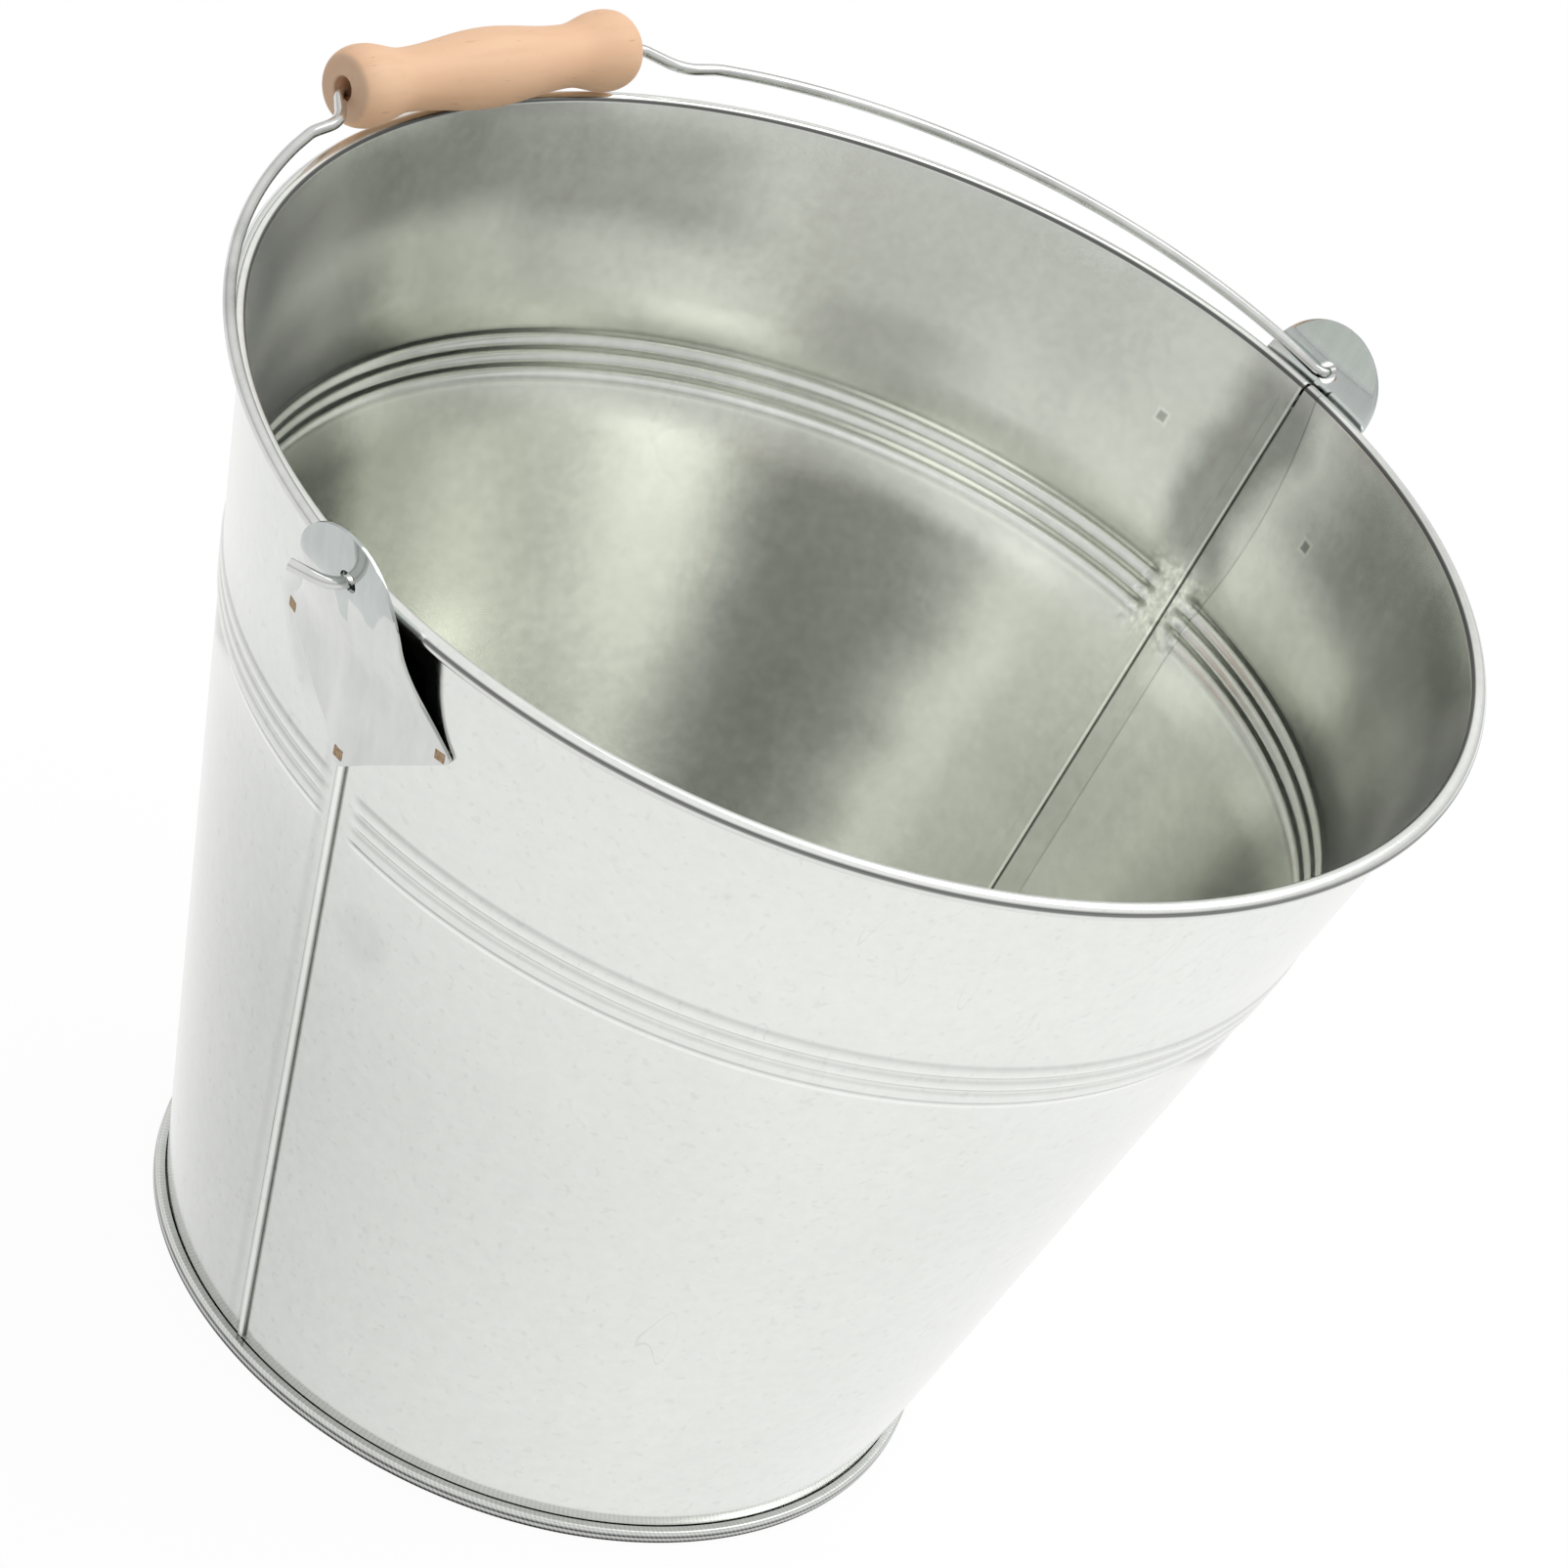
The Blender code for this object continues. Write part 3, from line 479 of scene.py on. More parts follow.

# %% [markdown]
# Inside, the wall shows blurred dark and light bands that run up it, broken by the beads: painted
# reflections. They are placed one by one, and noise pushes their edges about so that none is
# straight. Beside the lock seam there is more painted reflection: a darker strip where the sheet
# lies flat, with a darker line along its edge, and ripples of light and dark where the beads were
# pressed next to it. Behind each spot weld is a darker square weld mark with a painted highlight
# round its dimple. A band is its left and right side in degrees, its low and high end in
# millimetres, the softness of its sides and ends, and its amount.

# %% Painted reflections and marks inside
INSIDE_REFLECTIONS = [
    (24, 49, 60, 169, 7, 9, -0.42),
    (58, 82, 217, 244, 6, 7, -0.27),
    (84, 106, 222, 250, 6, 7, -0.26),
    (-44, -10, 213, 250, 7, 9, -0.36),
    (-44, -22, 195, 212, 7, 6, 0.10),
    (-4, 6, 196, 250, 2.5, 7, -0.40),
    (-22, 13, 115, 175, 5, 10, -0.07),
    (13, 21, 60, 172, 3, 6, 0.13),
    (30, 47, 191, 211, 6, 6, -0.18),
    (54, 67, 60, 222, 5, 8, -0.10),
    (67, 86, 118, 220, 5, 8, -0.05),
    (78, 88, 60, 115, 4, 8, 0.14),
    (82, 91, 196, 222, 3, 8, 0.12),
    (98, 160, 120, 220, 8, 9, 0.16),
    (112, 160, 214, 250, 8, 9, 0.16),
    (-100, -38, 120, 250, 8, 12, 0.16),
]


def inside_marks_and_reflections(sheet):
    """Painted reflections, seam strip and ripples, and weld squares, as one number round 0."""
    drift = noise(sheet.wrapped, 0.04) - 0.5
    azimuth = sheet.azimuth + drift * 9.0
    height = sheet.height + drift * 14.0
    # Painted reflections in soft bands up the wall.
    bands = sum(patch(azimuth, height, spot) for spot in INSIDE_REFLECTIONS)
    # Painted reflection of the flat strip beside the seam, with a darker line on its edge, and
    # painted ripples of light and dark by the beads.
    at_seam = sheet.x.step_up(60.0, 61.0)
    rise = (sheet.height - 211.0) / 37.0
    edge = 9.4 + sheet.height.step_up(177.0, 185.0) * (2.6 - rise * rise * 5.0) - sheet.along
    strip = sheet.along.step_up(1.9, 2.1) * edge.step_up(-0.15, 0.15) * -0.06
    strip = (strip + band(edge, -0.1, 0.4, 0.12) * -0.14) * at_seam
    ripple = (noise(sheet.places, 420.0) - 0.5) * at_seam * 0.9
    ripple = ripple * band(sheet.along, -10.0, 10.0, 1.0) * band(sheet.height, 172.0, 194.0, 2.0)
    # A darker weld mark with a painted highlight round the rim of its dimple.
    off = sheet.places.math("MAXIMUM", abs(abs(sheet.y) - 27.3), abs(sheet.height - 220.6))
    weld = band(off, 1.3, 2.0, 0.2) * 0.08 - (1 - off.step_up(0.8, 1.4)) * 0.28
    return bands + strip + ripple + weld + painted_bead_shading(sheet, INNER_BEAD_SHADING)


print("inside bands:", len(INSIDE_REFLECTIONS))

# %% [markdown]
# The layers meet here. Clouds of a few centimetres, a fine orange peel and a few hair-thin
# scratches break up the surface. The sum is a shade from 0 to 1, and the tint of zinc comes last:
# neutral outside, warmer and greener inside, where light bounces from wall to wall. The painted
# side shade is a list of angles round the pail, in degrees, with how much darker the wall is
# painted there: a painted reflection of something dark on that side.

# %% Galvanised finish
OUTER_SIDE_SHADE = [(120, 0.0), (150, 0.20), (162, 0.29), (173, 0.32), (190, 0.24)]
OUTER_SIDE_SHADE += [(202, 0.18), (216, 0.12), (240, 0.06), (300, 0.04), (320, 0.0)]
SIDE_SHADE_START = 120.0
SIDE_SHADE_SPAN = 200.0


def sheet_texture(places):
    """Cloud, peel and scratches, each from 0 to 1."""
    cloud = noise(places, 18.0, 4.0, 0.6)
    peel = noise(places, 260.0, 3.0, 0.65)
    long_way = noise(places, 90.0, 1.0, 0.5, stretch=(1, 1, 0.05), shift=(0.3, 0.1, 0.0))
    scratch = band(long_way, 0.638, 0.645, 0.003) * cloud.step_up(0.5, 0.7)
    return cloud, peel, scratch


def painted_side_shade(sheet):
    """Painted shade round the left seam, more so towards the foot, for a dark reflection there."""
    turn = sheet.azimuth + 360.0 * (1 - sheet.azimuth.step_up(-1.0, 1.0))
    level = turn.ramp(OUTER_SIDE_SHADE, SIDE_SHADE_START, SIDE_SHADE_SPAN)
    return level * (0.85 - sheet.height.step_up(105.0, 215.0) * 0.5)


def galvanised_finish():
    material, places = new_finish("galvanised_sheet_satin")
    sheet = Sheet(places)
    cloud, peel, scratch = sheet_texture(places)
    # Painted shade at the joints, and painted highlights on the seam's fold and lip.
    painted_darkening, bright = joint_shade_and_highlights(sheet)
    aside = (sheet.azimuth + 173.6) * 2.3
    spot = places.math("SQRT", aside**2.0 + (sheet.height - 153.0) ** 2.0)
    fleck = noise(places, 420.0).step_up(0.6, 0.72) * -0.045
    # Painted shade round the left seam, a painted reflection of something dark on that side.
    side_shade = painted_side_shade(sheet)
    marks_and_side_shade = (1 - spot.step_up(4.0, 11.0)) * -0.05 - side_shade + fleck
    lines = painted_bead_shading(sheet, OUTER_BEAD_SHADING) * (1 + side_shade * 4.0)
    outer = 0.855 + (cloud - 0.5) * 0.07 + (peel - 0.5) * 0.09 + lines + marks_and_side_shade + bright
    inner = 0.81 + (cloud - 0.5) * 0.18 + (peel - 0.5) * 0.14 + inside_marks_and_reflections(sheet) + bright
    level = outer + (inner - outer) * sheet.inside - scratch * 0.08
    level = level * (1 - painted_darkening)
    colour = tinted(level, sheet.inside.blend(ZINC_TINT, (0.985, 1.0, 0.950, 1.0)))
    rough = 0.15 + sheet.inside * 0.05 + (cloud - 0.5) * 0.06 + (peel - 0.5) * 0.05
    ends = (1 - band(sheet.azimuth, -46, 104, 8)) * sheet.height.step_up(176.0, 200.0)
    metallic = 1 - sheet.inside * ends * 0.17
    end_finish(places, colour, rough, metallic, peel + cloud * 2.0, 0.06 * MM, 0.35)
    return material


def plain_zinc(name, tint, roughness):
    """Zinc without the marks of the wall, for the wire in the rim."""
    material, places = new_finish(name)
    cloud, peel, _ = sheet_texture(places)
    colour = tinted(0.85 + (cloud - 0.5) * 0.2 + (peel - 0.5) * 0.2, tint)
    roughness = roughness + (peel - 0.5) * 0.1
    end_finish(places, colour, roughness, 1.0, peel, 0.06 * MM, 0.4)
    return material


galvanised = galvanised_finish()
print("finish:", galvanised.name, "with", len(galvanised.node_tree.nodes), "nodes")

# %% [markdown]
# The wall is one thin sheet: hooked at the foot, straight up the cone with three pressed beads, and
# rolled over a wire at the rim. Its section is drawn once and spun round the axis.

# %% Section of the wall
BEAD_LOW = 175.81 * MM
BEAD_PITCH = 4.53 * MM
BEAD_RISE = 0.6 * MM
BEAD_COUNT = 3
BEAD_ROWS = 12
BEAD_TOP = BEAD_LOW + BEAD_COUNT * BEAD_PITCH
WALL_STEPS = 480


def bead_rise(row):
    return BEAD_RISE * math.sin(math.pi * row / BEAD_ROWS) ** 1.3


def wall_section():
    """(radius, height) points from the hook at the foot to the end of the roll."""
    points = [(99.1 * MM, 3.1 * MM)] + arc((98.3 * MM, 1.85 * MM), 0.8 * MM, 0, -180, 8)
    points += [(FOOT_RADIUS, 3.2 * MM)]
    heights = [CONE_START, SEAM_LOW]
    heights += [SEAM_LOW + (BEAD_LOW - SEAM_LOW) * step / 12 for step in range(1, 12)]
    points += [(wall_radius(height), height) for height in heights]
    for row in range(BEAD_COUNT * BEAD_ROWS + 1):
        height = BEAD_LOW + row * BEAD_PITCH / BEAD_ROWS
        rise = bead_rise(row % BEAD_ROWS)
        points.append((wall_radius(height) + rise * LEAN_OUT, height - rise * LEAN_DOWN))
    heights = [BEAD_TOP + (SEAM_TOP - BEAD_TOP) * step / 5 for step in range(1, 6)]
    heights.append(SEAM_TOP + 0.5 * MM)
    points += [(wall_radius(height), height) for height in heights]
    points += arc(ROLL_CENTRE, ROLL_RADIUS, 180 - math.degrees(WALL_LEAN), -140, 26)
    return points


section = standing(wall_section())
wall = turned("pail_wall", section, WALL_STEPS)
print("wall has", len(section), "rows")

# %% [markdown]
# The beads die out on both sides of each seam, because the sheet lies flat where it is locked. The
# rows of the beads are chosen column by column near the seams, and scaled back to the plain cone.
# The fade is measured in millimetres along the wall.

# %% Beads flattened at the seams
FADE_COLUMNS = 6
FADE_START = 3.7
FADE_LENGTH = 4.0
FADE_RADIUS = 138.6
BEAD_RADIUS = 139.0 * MM


def flatten_beads():
    """Scales the raised rows back to the cone, more and more towards the seams."""
    step = 2 * math.pi / WALL_STEPS
    low = BEAD_LOW + FOOT_LEVEL - 0.5 * MM
    high = BEAD_TOP + FOOT_LEVEL + 0.5 * MM
    for column in range(FADE_COLUMNS):
        kept = eased((column * step * FADE_RADIUS - FADE_START) / FADE_LENGTH)
        if kept == 1.0:
            continue
        for row in range(1, BEAD_ROWS // 2 + 1):
            rise = bead_rise(row)
            first = rise - 0.01 * MM
            last = rise + 0.01 * MM

            def raised(place):
                if not low < place.z < high:
                    return False
                turn = abs(math.atan2(place.y, abs(place.x)))
                if abs(turn - column * step) > step / 4:
                    return False
                radius = math.hypot(place.x, place.y)
                proud = (radius - wall_radius(place.z - FOOT_LEVEL)) * LEAN_OUT
                return first < proud < last

            pick(raised)
            factor = 1 - rise * (1 - kept) / BEAD_RADIUS
            bpy.ops.transform.resize(value=(factor, factor, 1.0), center_override=(0, 0, 0))


flatten_beads()
print("beads fade out beside the seams")

# %% [markdown]
# The two sheets of the wall meet in lock seams. The wall is cut open there: two planes beside the
# seam give clean edges, and the strip between them makes room for the folded seam. At the rim and
# the foot the sheets only butt, with a narrow gap in line with the seam's groove.

# %% Slots for the seams
SEAM_REACH = 2.9 * MM
GROOVE = 1.7 * MM
BUTT = 0.4 * MM


def cut_slots():
    for side in (SEAM_REACH, -SEAM_REACH):
        bpy.ops.mesh.select_mode(type="VERT")
        pick_all()
        bpy.ops.mesh.bisect(plane_co=(0, side, 0), plane_no=(0, 1, 0))
    for hand in (1, -1):
        for side in (-hand * GROOVE - BUTT, -hand * GROOVE + BUTT):
            pick(lambda place: place.x * hand > 0 and abs(place.y) < SEAM_REACH, faces=True)
            bpy.ops.mesh.bisect(plane_co=(0, side, 0), plane_no=(0, 1, 0))
    low = SEAM_LOW + FOOT_LEVEL
    high = SEAM_TOP + FOOT_LEVEL
    cone = CONE_START + FOOT_LEVEL

    def cut_away(place):
        radius = math.hypot(place.x, place.y)
        if low < place.z < high and radius < wall_radius(place.z - FOOT_LEVEL) + 1.5 * MM:
            return abs(place.y) < SEAM_REACH
        groove = -math.copysign(GROOVE, place.x)
        return abs(place.y - groove) < BUTT and (place.z > high or place.z < cone)

    pick(cut_away, faces=True)
    bpy.ops.mesh.delete(type="FACE")


cut_slots()
close_mesh()
thicken(wall, SHEET)
halves = ("shell_half_back", "shell_half_front")
finish_piece(wall, "bucket", "galvanised_sheet", galvanised, *halves)

# %% [markdown]
# A lock seam hooks the edges of two sheets into each other and presses them flat on the outside. It
# is drawn as two folded lines across the wall and drawn out along the cone, which keeps its width
# the same from foot to rim. The press has made the sheet thinner there. The second seam is the
# first one turned half a turn.

# %% Lock seams
SEAM_LEFT = 0.15 * MM
SEAM_RIGHT = 0.95 * MM
SEAM_PITCH = 0.33 * MM
SEAM_SHEET = 0.3 * MM
SEAM_ROWS = 12


def seam_point(along, out, height):
    """Place on the -X side, at a distance along the wall and out from it."""
    radius = wall_radius(height)
    curve = radius - math.sqrt(radius * radius - min(abs(along), SEAM_REACH) ** 2)
    out = out - curve
    return (-(radius + out * LEAN_OUT), along, height - out * LEAN_DOWN + FOOT_LEVEL)


def seam_strip():
    left, right, pitch = SEAM_LEFT, SEAM_RIGHT, SEAM_PITCH
    outer = [(SEAM_REACH, 0.0)] + arc((right + 3 * pitch, pitch), pitch, -90, -180, 6)
    outer += arc((right, pitch), 2 * pitch, 0, 90, 8)[1:]
    outer += arc((left, 2 * pitch), pitch, 90, 270, 12) + [(right, pitch)]
    inner = [(-SEAM_REACH, 0.0), (left, 0.0)] + arc((right, pitch), pitch, -90, 90, 10)
    inner += [(left, 2 * pitch)]
    rise = Vector(seam_point(0, 0, SEAM_TOP)) - Vector(seam_point(0, 0, SEAM_LOW))
    strips = []
    for name, line in (("seam_outer", outer), ("seam_inner", inner)):
        strip = start_line(name, [seam_point(along, out, SEAM_LOW) for along, out in line])
        pick_all()
        extend_line([rise * row / SEAM_ROWS for row in range(SEAM_ROWS + 1)])
        face_outward()
        close_mesh()
        thicken(strip, SEAM_SHEET)
        strips.append(strip)
    choose_only(*strips)
    bpy.ops.object.join()
    return strips[0]


def copy_piece(piece, name, turn=None):
    """A copy with its own mesh, moved if asked, with its new place written into its mesh."""
    choose_only(piece)
    bpy.ops.object.duplicate()
    made = bpy.context.object
    made.name = made.data.name = name
    if turn is not None:
        made.matrix_world = turn @ made.matrix_world
        bpy.ops.object.transform_apply()
    return made


HALF_TURN = Matrix.Rotation(math.pi, 4, "Z")
seam_left = seam_strip()
seam_left.name = seam_left.data.name = "lock_seam_left"
seam_right = copy_piece(seam_left, "lock_seam_right", HALF_TURN)
for seam in (seam_left, seam_right):
    finish_piece(seam, "bucket", "galvanised_sheet", galvanised)

# %% [markdown]
# The base is a disc let in above the foot. Its edge goes down inside the wall, under it, and up
# outside it, where it ends in a small fold towards the wall. That is the ring on which the pail
# stands.

# %% Base
BEND = 0.6 * MM


def base_section():
    """(radius, height) points from the edge of the ring to the middle of the disc."""
    points = [(98.0 * MM, 3.6 * MM)] + arc((99.4 * MM, 3.1 * MM), 0.5 * MM, 90, 0, 5)
    points += [(99.9 * MM, 2.0 * MM)] + arc((99.3 * MM, 0.85 * MM), BEND, 0, -90, 6)
    points += arc((97.3 * MM, 0.85 * MM), BEND, -90, -180, 6)
    points += arc((96.1 * MM, 3.4 * MM), BEND, 0, 90, 6)
    points += [(radius * MM, 4.0 * MM) for radius in (80.0, 55.0, 25.0, 0.0)]
    return points


def base_finish():
    """Dull zinc, fine hatching, and painted reflections as a darker ring with lines round it."""
    material, places = new_finish("galvanised_base_dull")
    sheet = Sheet(places)
    cloud, peel, _ = sheet_texture(places)
    hatch = places.math("SINE", sheet.azimuth * 9.0 + sheet.height * 4.0 + cloud * 8.0)
    ring = 1 - sheet.inside
    # Painted reflections: light and dark lines round the ring, and its face painted darker.
    bright = band(sheet.height, 1.4, 1.8, 0.2) * 0.16 + sheet.height.step_up(2.7, 3.2) * 0.28
    painted_darkening = band(sheet.height, 2.0, 2.5, 0.2) * 0.32 + (1 - sheet.height.step_up(0.8, 1.3)) * 0.4
    level = 0.62 + (cloud - 0.5) * 0.12 + (peel - 0.5) * 0.12
    level = level + ring * (hatch * 0.06 - 0.2 + bright - painted_darkening)
    rough = 0.28 + (peel - 0.5) * 0.1
    end_finish(places, tinted(level, ZINC_TINT), rough, 1.0, peel + cloud, 0.06 * MM, 0.4)
    return material


dull_zinc = base_finish()
base = turned("pail_base", standing(base_section()), 360)
close_mesh()
thicken(base, SHEET)
finish_piece(base, "bucket", "galvanised_base", dull_zinc, "base_disc")

# %% [markdown]
# A wire inside the rolled edge keeps the rim round. It hardly shows, so a plain ring is enough.

# %% Wire inside the rim
RIM_WIRE_RADIUS = 1.2 * MM

rim_places = standing(arc(ROLL_CENTRE, RIM_WIRE_RADIUS, 0, 360, 14))
rim_core = turned("rim_core_wire", rim_places, 240)
close_mesh()
plain_wire = plain_zinc("plain_rim_wire", (0.30, 0.30, 0.29, 1.0), 0.35)
finish_piece(rim_core, "bucket", "zinc_wire", plain_wire, "rim_wire")

# %% [markdown]
# Each ear is pressed from bright sheet: a point that is welded on the seam, two welded corners, a
# waist and a round lobe with the hole for the bail. It lies on the wall at its lower half and
# stands off above, clear of the rolled rim. A low ridge runs up its middle, over the seam. The
# solid has this surface too.

# %% Surface of an ear
EAR_SHEET = 0.9 * MM
HINGE_RADIUS = 159.8 * MM
HINGE_HEIGHT = 251.0 * MM
EAR_POINT_HEIGHT = 195.6 * MM
EAR_CORNER_HEIGHT = 220.0 * MM
EAR_CORNER_WIDTH = 30.6 * MM
EAR_POINT_WIDTH = 0.8 * MM
LOBE_RADIUS = 17.9 * MM
LIFT_START = 213.5 * MM
LIFT_BLEND = 16.0 * MM
TOP_BLEND = 12.0 * MM
RIDGE_WIDTH = 18.0 * MM
RIDGE_HEIGHT = 1.95 * MM
CORNER_SOFT = 2.5 * MM


def bent_rise(above, blend):
    """Rises at a rate that grows from 0 to 1 within the blend, and stays at 1 from there."""
    if above <= 0:
        return 0.0
    return above * above / (2 * blend) if above < blend else above - blend / 2


def ear_seat(height):
    return wall_radius(height) + SHEET / 2 + 0.3 * MM + EAR_SHEET / 2


TOP_START = HINGE_HEIGHT - 6.0 * MM
TOP_RISE = bent_rise(HINGE_HEIGHT - TOP_START, TOP_BLEND)
EAR_RISE = bent_rise(HINGE_HEIGHT - LIFT_START, LIFT_BLEND) - TOP_RISE
LIFT_RATE = (HINGE_RADIUS - ear_seat(HINGE_HEIGHT)) / EAR_RISE
LOBE_CENTRE = HINGE_HEIGHT - 5.6 * MM * LEAN_OUT
LOBE_RISE = LOBE_RADIUS * LEAN_OUT


def ear_lift(height):
    leaving = LIFT_RATE * bent_rise(height - LIFT_START, LIFT_BLEND)
    return leaving - LIFT_RATE * bent_rise(height - TOP_START, TOP_BLEND)


def ear_depth(width, height):
    """How far out the ear's middle stands, at a distance along the wall and a height."""
    loose = eased((height - EAR_CORNER_HEIGHT) / (HINGE_HEIGHT - EAR_CORNER_HEIGHT))
    late = (EAR_CORNER_HEIGHT - LIFT_START) * (1 - 0.7 * loose) * (width / EAR_CORNER_WIDTH) ** 2
    ridge = 0.0
    if abs(width) < RIDGE_WIDTH / 2:
        ridge = RIDGE_HEIGHT * math.cos(math.pi * width / RIDGE_WIDTH) ** 2
    seat = ear_seat(height)
    roundness = seat - math.sqrt(seat * seat - width * width)
    return seat + max(ear_lift(height - late), ridge) - roundness * (1 - loose)


def ear_half_width(height):
    if height >= LOBE_CENTRE:
        rise = min(1.0, (height - LOBE_CENTRE) / LOBE_RISE)
        return LOBE_RADIUS * math.sqrt(1 - rise * rise)
    slope = (EAR_CORNER_WIDTH - EAR_POINT_WIDTH) / (EAR_CORNER_HEIGHT - EAR_POINT_HEIGHT)
    point_side = EAR_POINT_WIDTH + slope * (height - EAR_POINT_HEIGHT)
    down = (LOBE_CENTRE - height) / (LOBE_CENTRE - EAR_CORNER_HEIGHT)
    flare_side = LOBE_RADIUS + (EAR_CORNER_WIDTH - LOBE_RADIUS) * down**2
    near = max(0.0, CORNER_SOFT - abs(point_side - flare_side)) / CORNER_SOFT
    return min(point_side, flare_side) - near * near * CORNER_SOFT / 4


def ear_place(width, height):
    return Vector((-ear_depth(width, height), width, height + FOOT_LEVEL))


def ear_frame(width, height):
    """Placement on the ear whose Z axis is its outward normal, with Y along the wall."""
    step = 0.5 * MM
    along = ear_place(width + step, height) - ear_place(width - step, height)
    upward = ear_place(width, height + step) - ear_place(width, height - step)
    normal = upward.cross(along).normalized()
    level = (Vector((0, 1, 0)) - normal * normal.y).normalized()
    turn = Matrix((level.cross(normal), level, normal)).transposed()
    return Matrix.Translation(ear_place(width, height)) @ turn.to_4x4()


stands = ear_depth(0, HINGE_HEIGHT) - wall_radius(HINGE_HEIGHT)
print("ear stands", round(stands / MM, 1), "mm off the wall line")

# %% [markdown]
# The blank is a grid. Its rows are scaled to the outline and raised to their heights, then each
# pair of points is pulled out to the surface. Solidify gives the sheet, and a cutter, turned a
# little so that its corners miss the lines of the grid, punches the hole. A small bevel gives the
# edge the bright line that cut sheet has. Points that it leaves almost on each other are merged.

# %% Ear plates
EAR_COLUMNS = 28
HOLE_RADIUS = 2.75 * MM


def ear_rows():
    below = EAR_CORNER_HEIGHT - 3.0 * MM - EAR_POINT_HEIGHT
    rows = [EAR_POINT_HEIGHT + below * step / 16 for step in range(16)]
    rows += [EAR_CORNER_HEIGHT + step * 0.5 * MM for step in range(-6, 7)]
    start = EAR_CORNER_HEIGHT + 3.0 * MM
    rows += [start + (LOBE_CENTRE - start) * step / 22 for step in range(1, 22)]
    turns = [math.radians(86) * step / 18 for step in range(19)]
    return rows + [LOBE_CENTRE + LOBE_RISE * math.sin(turn) for turn in turns]


def ear_blank():
    heights = ear_rows()
    rows = len(heights) - 1
    bpy.ops.mesh.primitive_grid_add(x_subdivisions=EAR_COLUMNS, y_subdivisions=rows, size=2)
    plate = bpy.context.object
    plate.name = plate.data.name = "ear_plate_left"
    open_mesh(plate)
    mesh = bmesh.from_edit_mesh(plate.data)
    mesh.verts.ensure_lookup_table()
    columns = EAR_COLUMNS + 1

    def choose(numbers):
        bpy.ops.mesh.select_all(action="DESELECT")
        for number in numbers:
            mesh.verts[number].select = True
        mesh.select_flush_mode()

    for row, height in enumerate(heights):
        choose(range(row * columns, (row + 1) * columns))
        old = mesh.verts[row * columns].co.copy()
        bpy.ops.transform.translate(value=(0, -old.y, height + FOOT_LEVEL))
        wide = (ear_half_width(height), 1, 1)
        bpy.ops.transform.resize(value=wide, center_override=(0, 0, height))
    for row, height in enumerate(heights):
        half = ear_half_width(height)
        for column in range(EAR_COLUMNS // 2 + 1):
            width = half * (2 * column / EAR_COLUMNS - 1)
            choose({row * columns + column, (row + 1) * columns - 1 - column})
            bpy.ops.transform.translate(value=(0, -ear_depth(width, height), 0))
    return plate


plate = ear_blank()
print("blank points", len(bmesh.from_edit_mesh(plate.data).verts))
close_mesh()
swapped = Matrix(((0, 1, 0, 0), (1, 0, 0, 0), (0, 0, 1, 0), (0, 0, 0, 1)))
plate.matrix_world = swapped @ plate.matrix_world
bpy.ops.object.transform_apply()
open_mesh(plate)
face_outward()
close_mesh()
thicken(plate, EAR_SHEET)
bpy.ops.mesh.primitive_cylinder_add(vertices=48, radius=HOLE_RADIUS, depth=8 * MM)
punch = bpy.context.object
punch.matrix_world = ear_frame(0.0, HINGE_HEIGHT) @ Matrix.Rotation(math.radians(2.5), 4, "Z")
bpy.context.view_layer.update()
apply_modifier(plate, "BOOLEAN", operation="DIFFERENCE", object=punch, solver="EXACT")
bpy.data.objects.remove(punch)
soften_edges(plate, 0.12 * MM, 50)
open_mesh(plate)
merge_close_points(0.006 * MM)
close_mesh()
print("ear has", len(plate.data.polygons), "faces")

# %% [markdown]
# The ears are smoother than the wall, almost a mirror, with fine brush marks down the plate. The
# round end carries a painted reflection: darker, bluer and a little smoother, hanging lower in two
# small lobes under the hole. Low on the side that faces the pail, near the rim, the plate carries
# painted shade. Heat has tinted the welds brown.

# %% Ear and weld finishes
def bright_finish():
    material, places = new_finish("bright_ear_zinc")
    sheet = Sheet(places)
    brushed = noise(places, 260.0, 3.0, 0.65, stretch=(1, 1, 0.05))
    cloud = noise(places, 60.0, 3.0, 0.6)
    # Painted reflection on the round end: darker, bluer and smoother, hanging lower in two lobes
    # under the hole.
    reflection_wobble = noise(places, 85.0, 1.0, 0.4, stretch=(0.2, 1, 0.12))
    lobes = band(sheet.along, 0.8, 5.0, 1.2) * 8.5 + band(sheet.along, -9.5, -5.5, 1.5) * 2.5
    lobes = lobes - (1 - sheet.along.step_up(-14.0, -9.0)) * 6.0
    lobe_reflection = (sheet.height + lobes + (reflection_wobble - 0.5) * 3.0).step_up(245.0, 246.4)
    level = 0.64 + (brushed - 0.5) * 0.14 + (cloud - 0.5) * 0.10
    # Painted shade low on the side that faces the pail, next to the rim.
    shade_near_rim = sheet.inside * (1 - sheet.height.step_up(245.0, 248.0)) * 0.12
    level = level + sheet.inside * 0.05 - lobe_reflection * (1 - sheet.inside) * 0.12 - shade_near_rim
    tint = lobe_reflection.blend((0.985, 1.0, 0.975, 1.0), (0.94, 1.0, 0.985, 1.0))
    rough = 0.10 + brushed * 0.05 + (cloud - 0.5) * 0.05 - lobe_reflection * 0.05
    end_finish(places, tinted(level, tint), rough, 1.0, brushed + cloud, 0.03 * MM, 0.4)
    return material


def scale_finish():
    material, places = new_finish("weld_heat_scale")
    cloud = noise(places, 900.0, 3.0, 0.6)
    colour = cloud.step_up(0.3, 0.7).blend((0.34, 0.22, 0.12, 1.0), (0.56, 0.40, 0.25, 1.0))
    end_finish(places, colour, 0.5 + cloud * 0.2, 0.4, cloud, 0.06 * MM, 0.6)
    return material


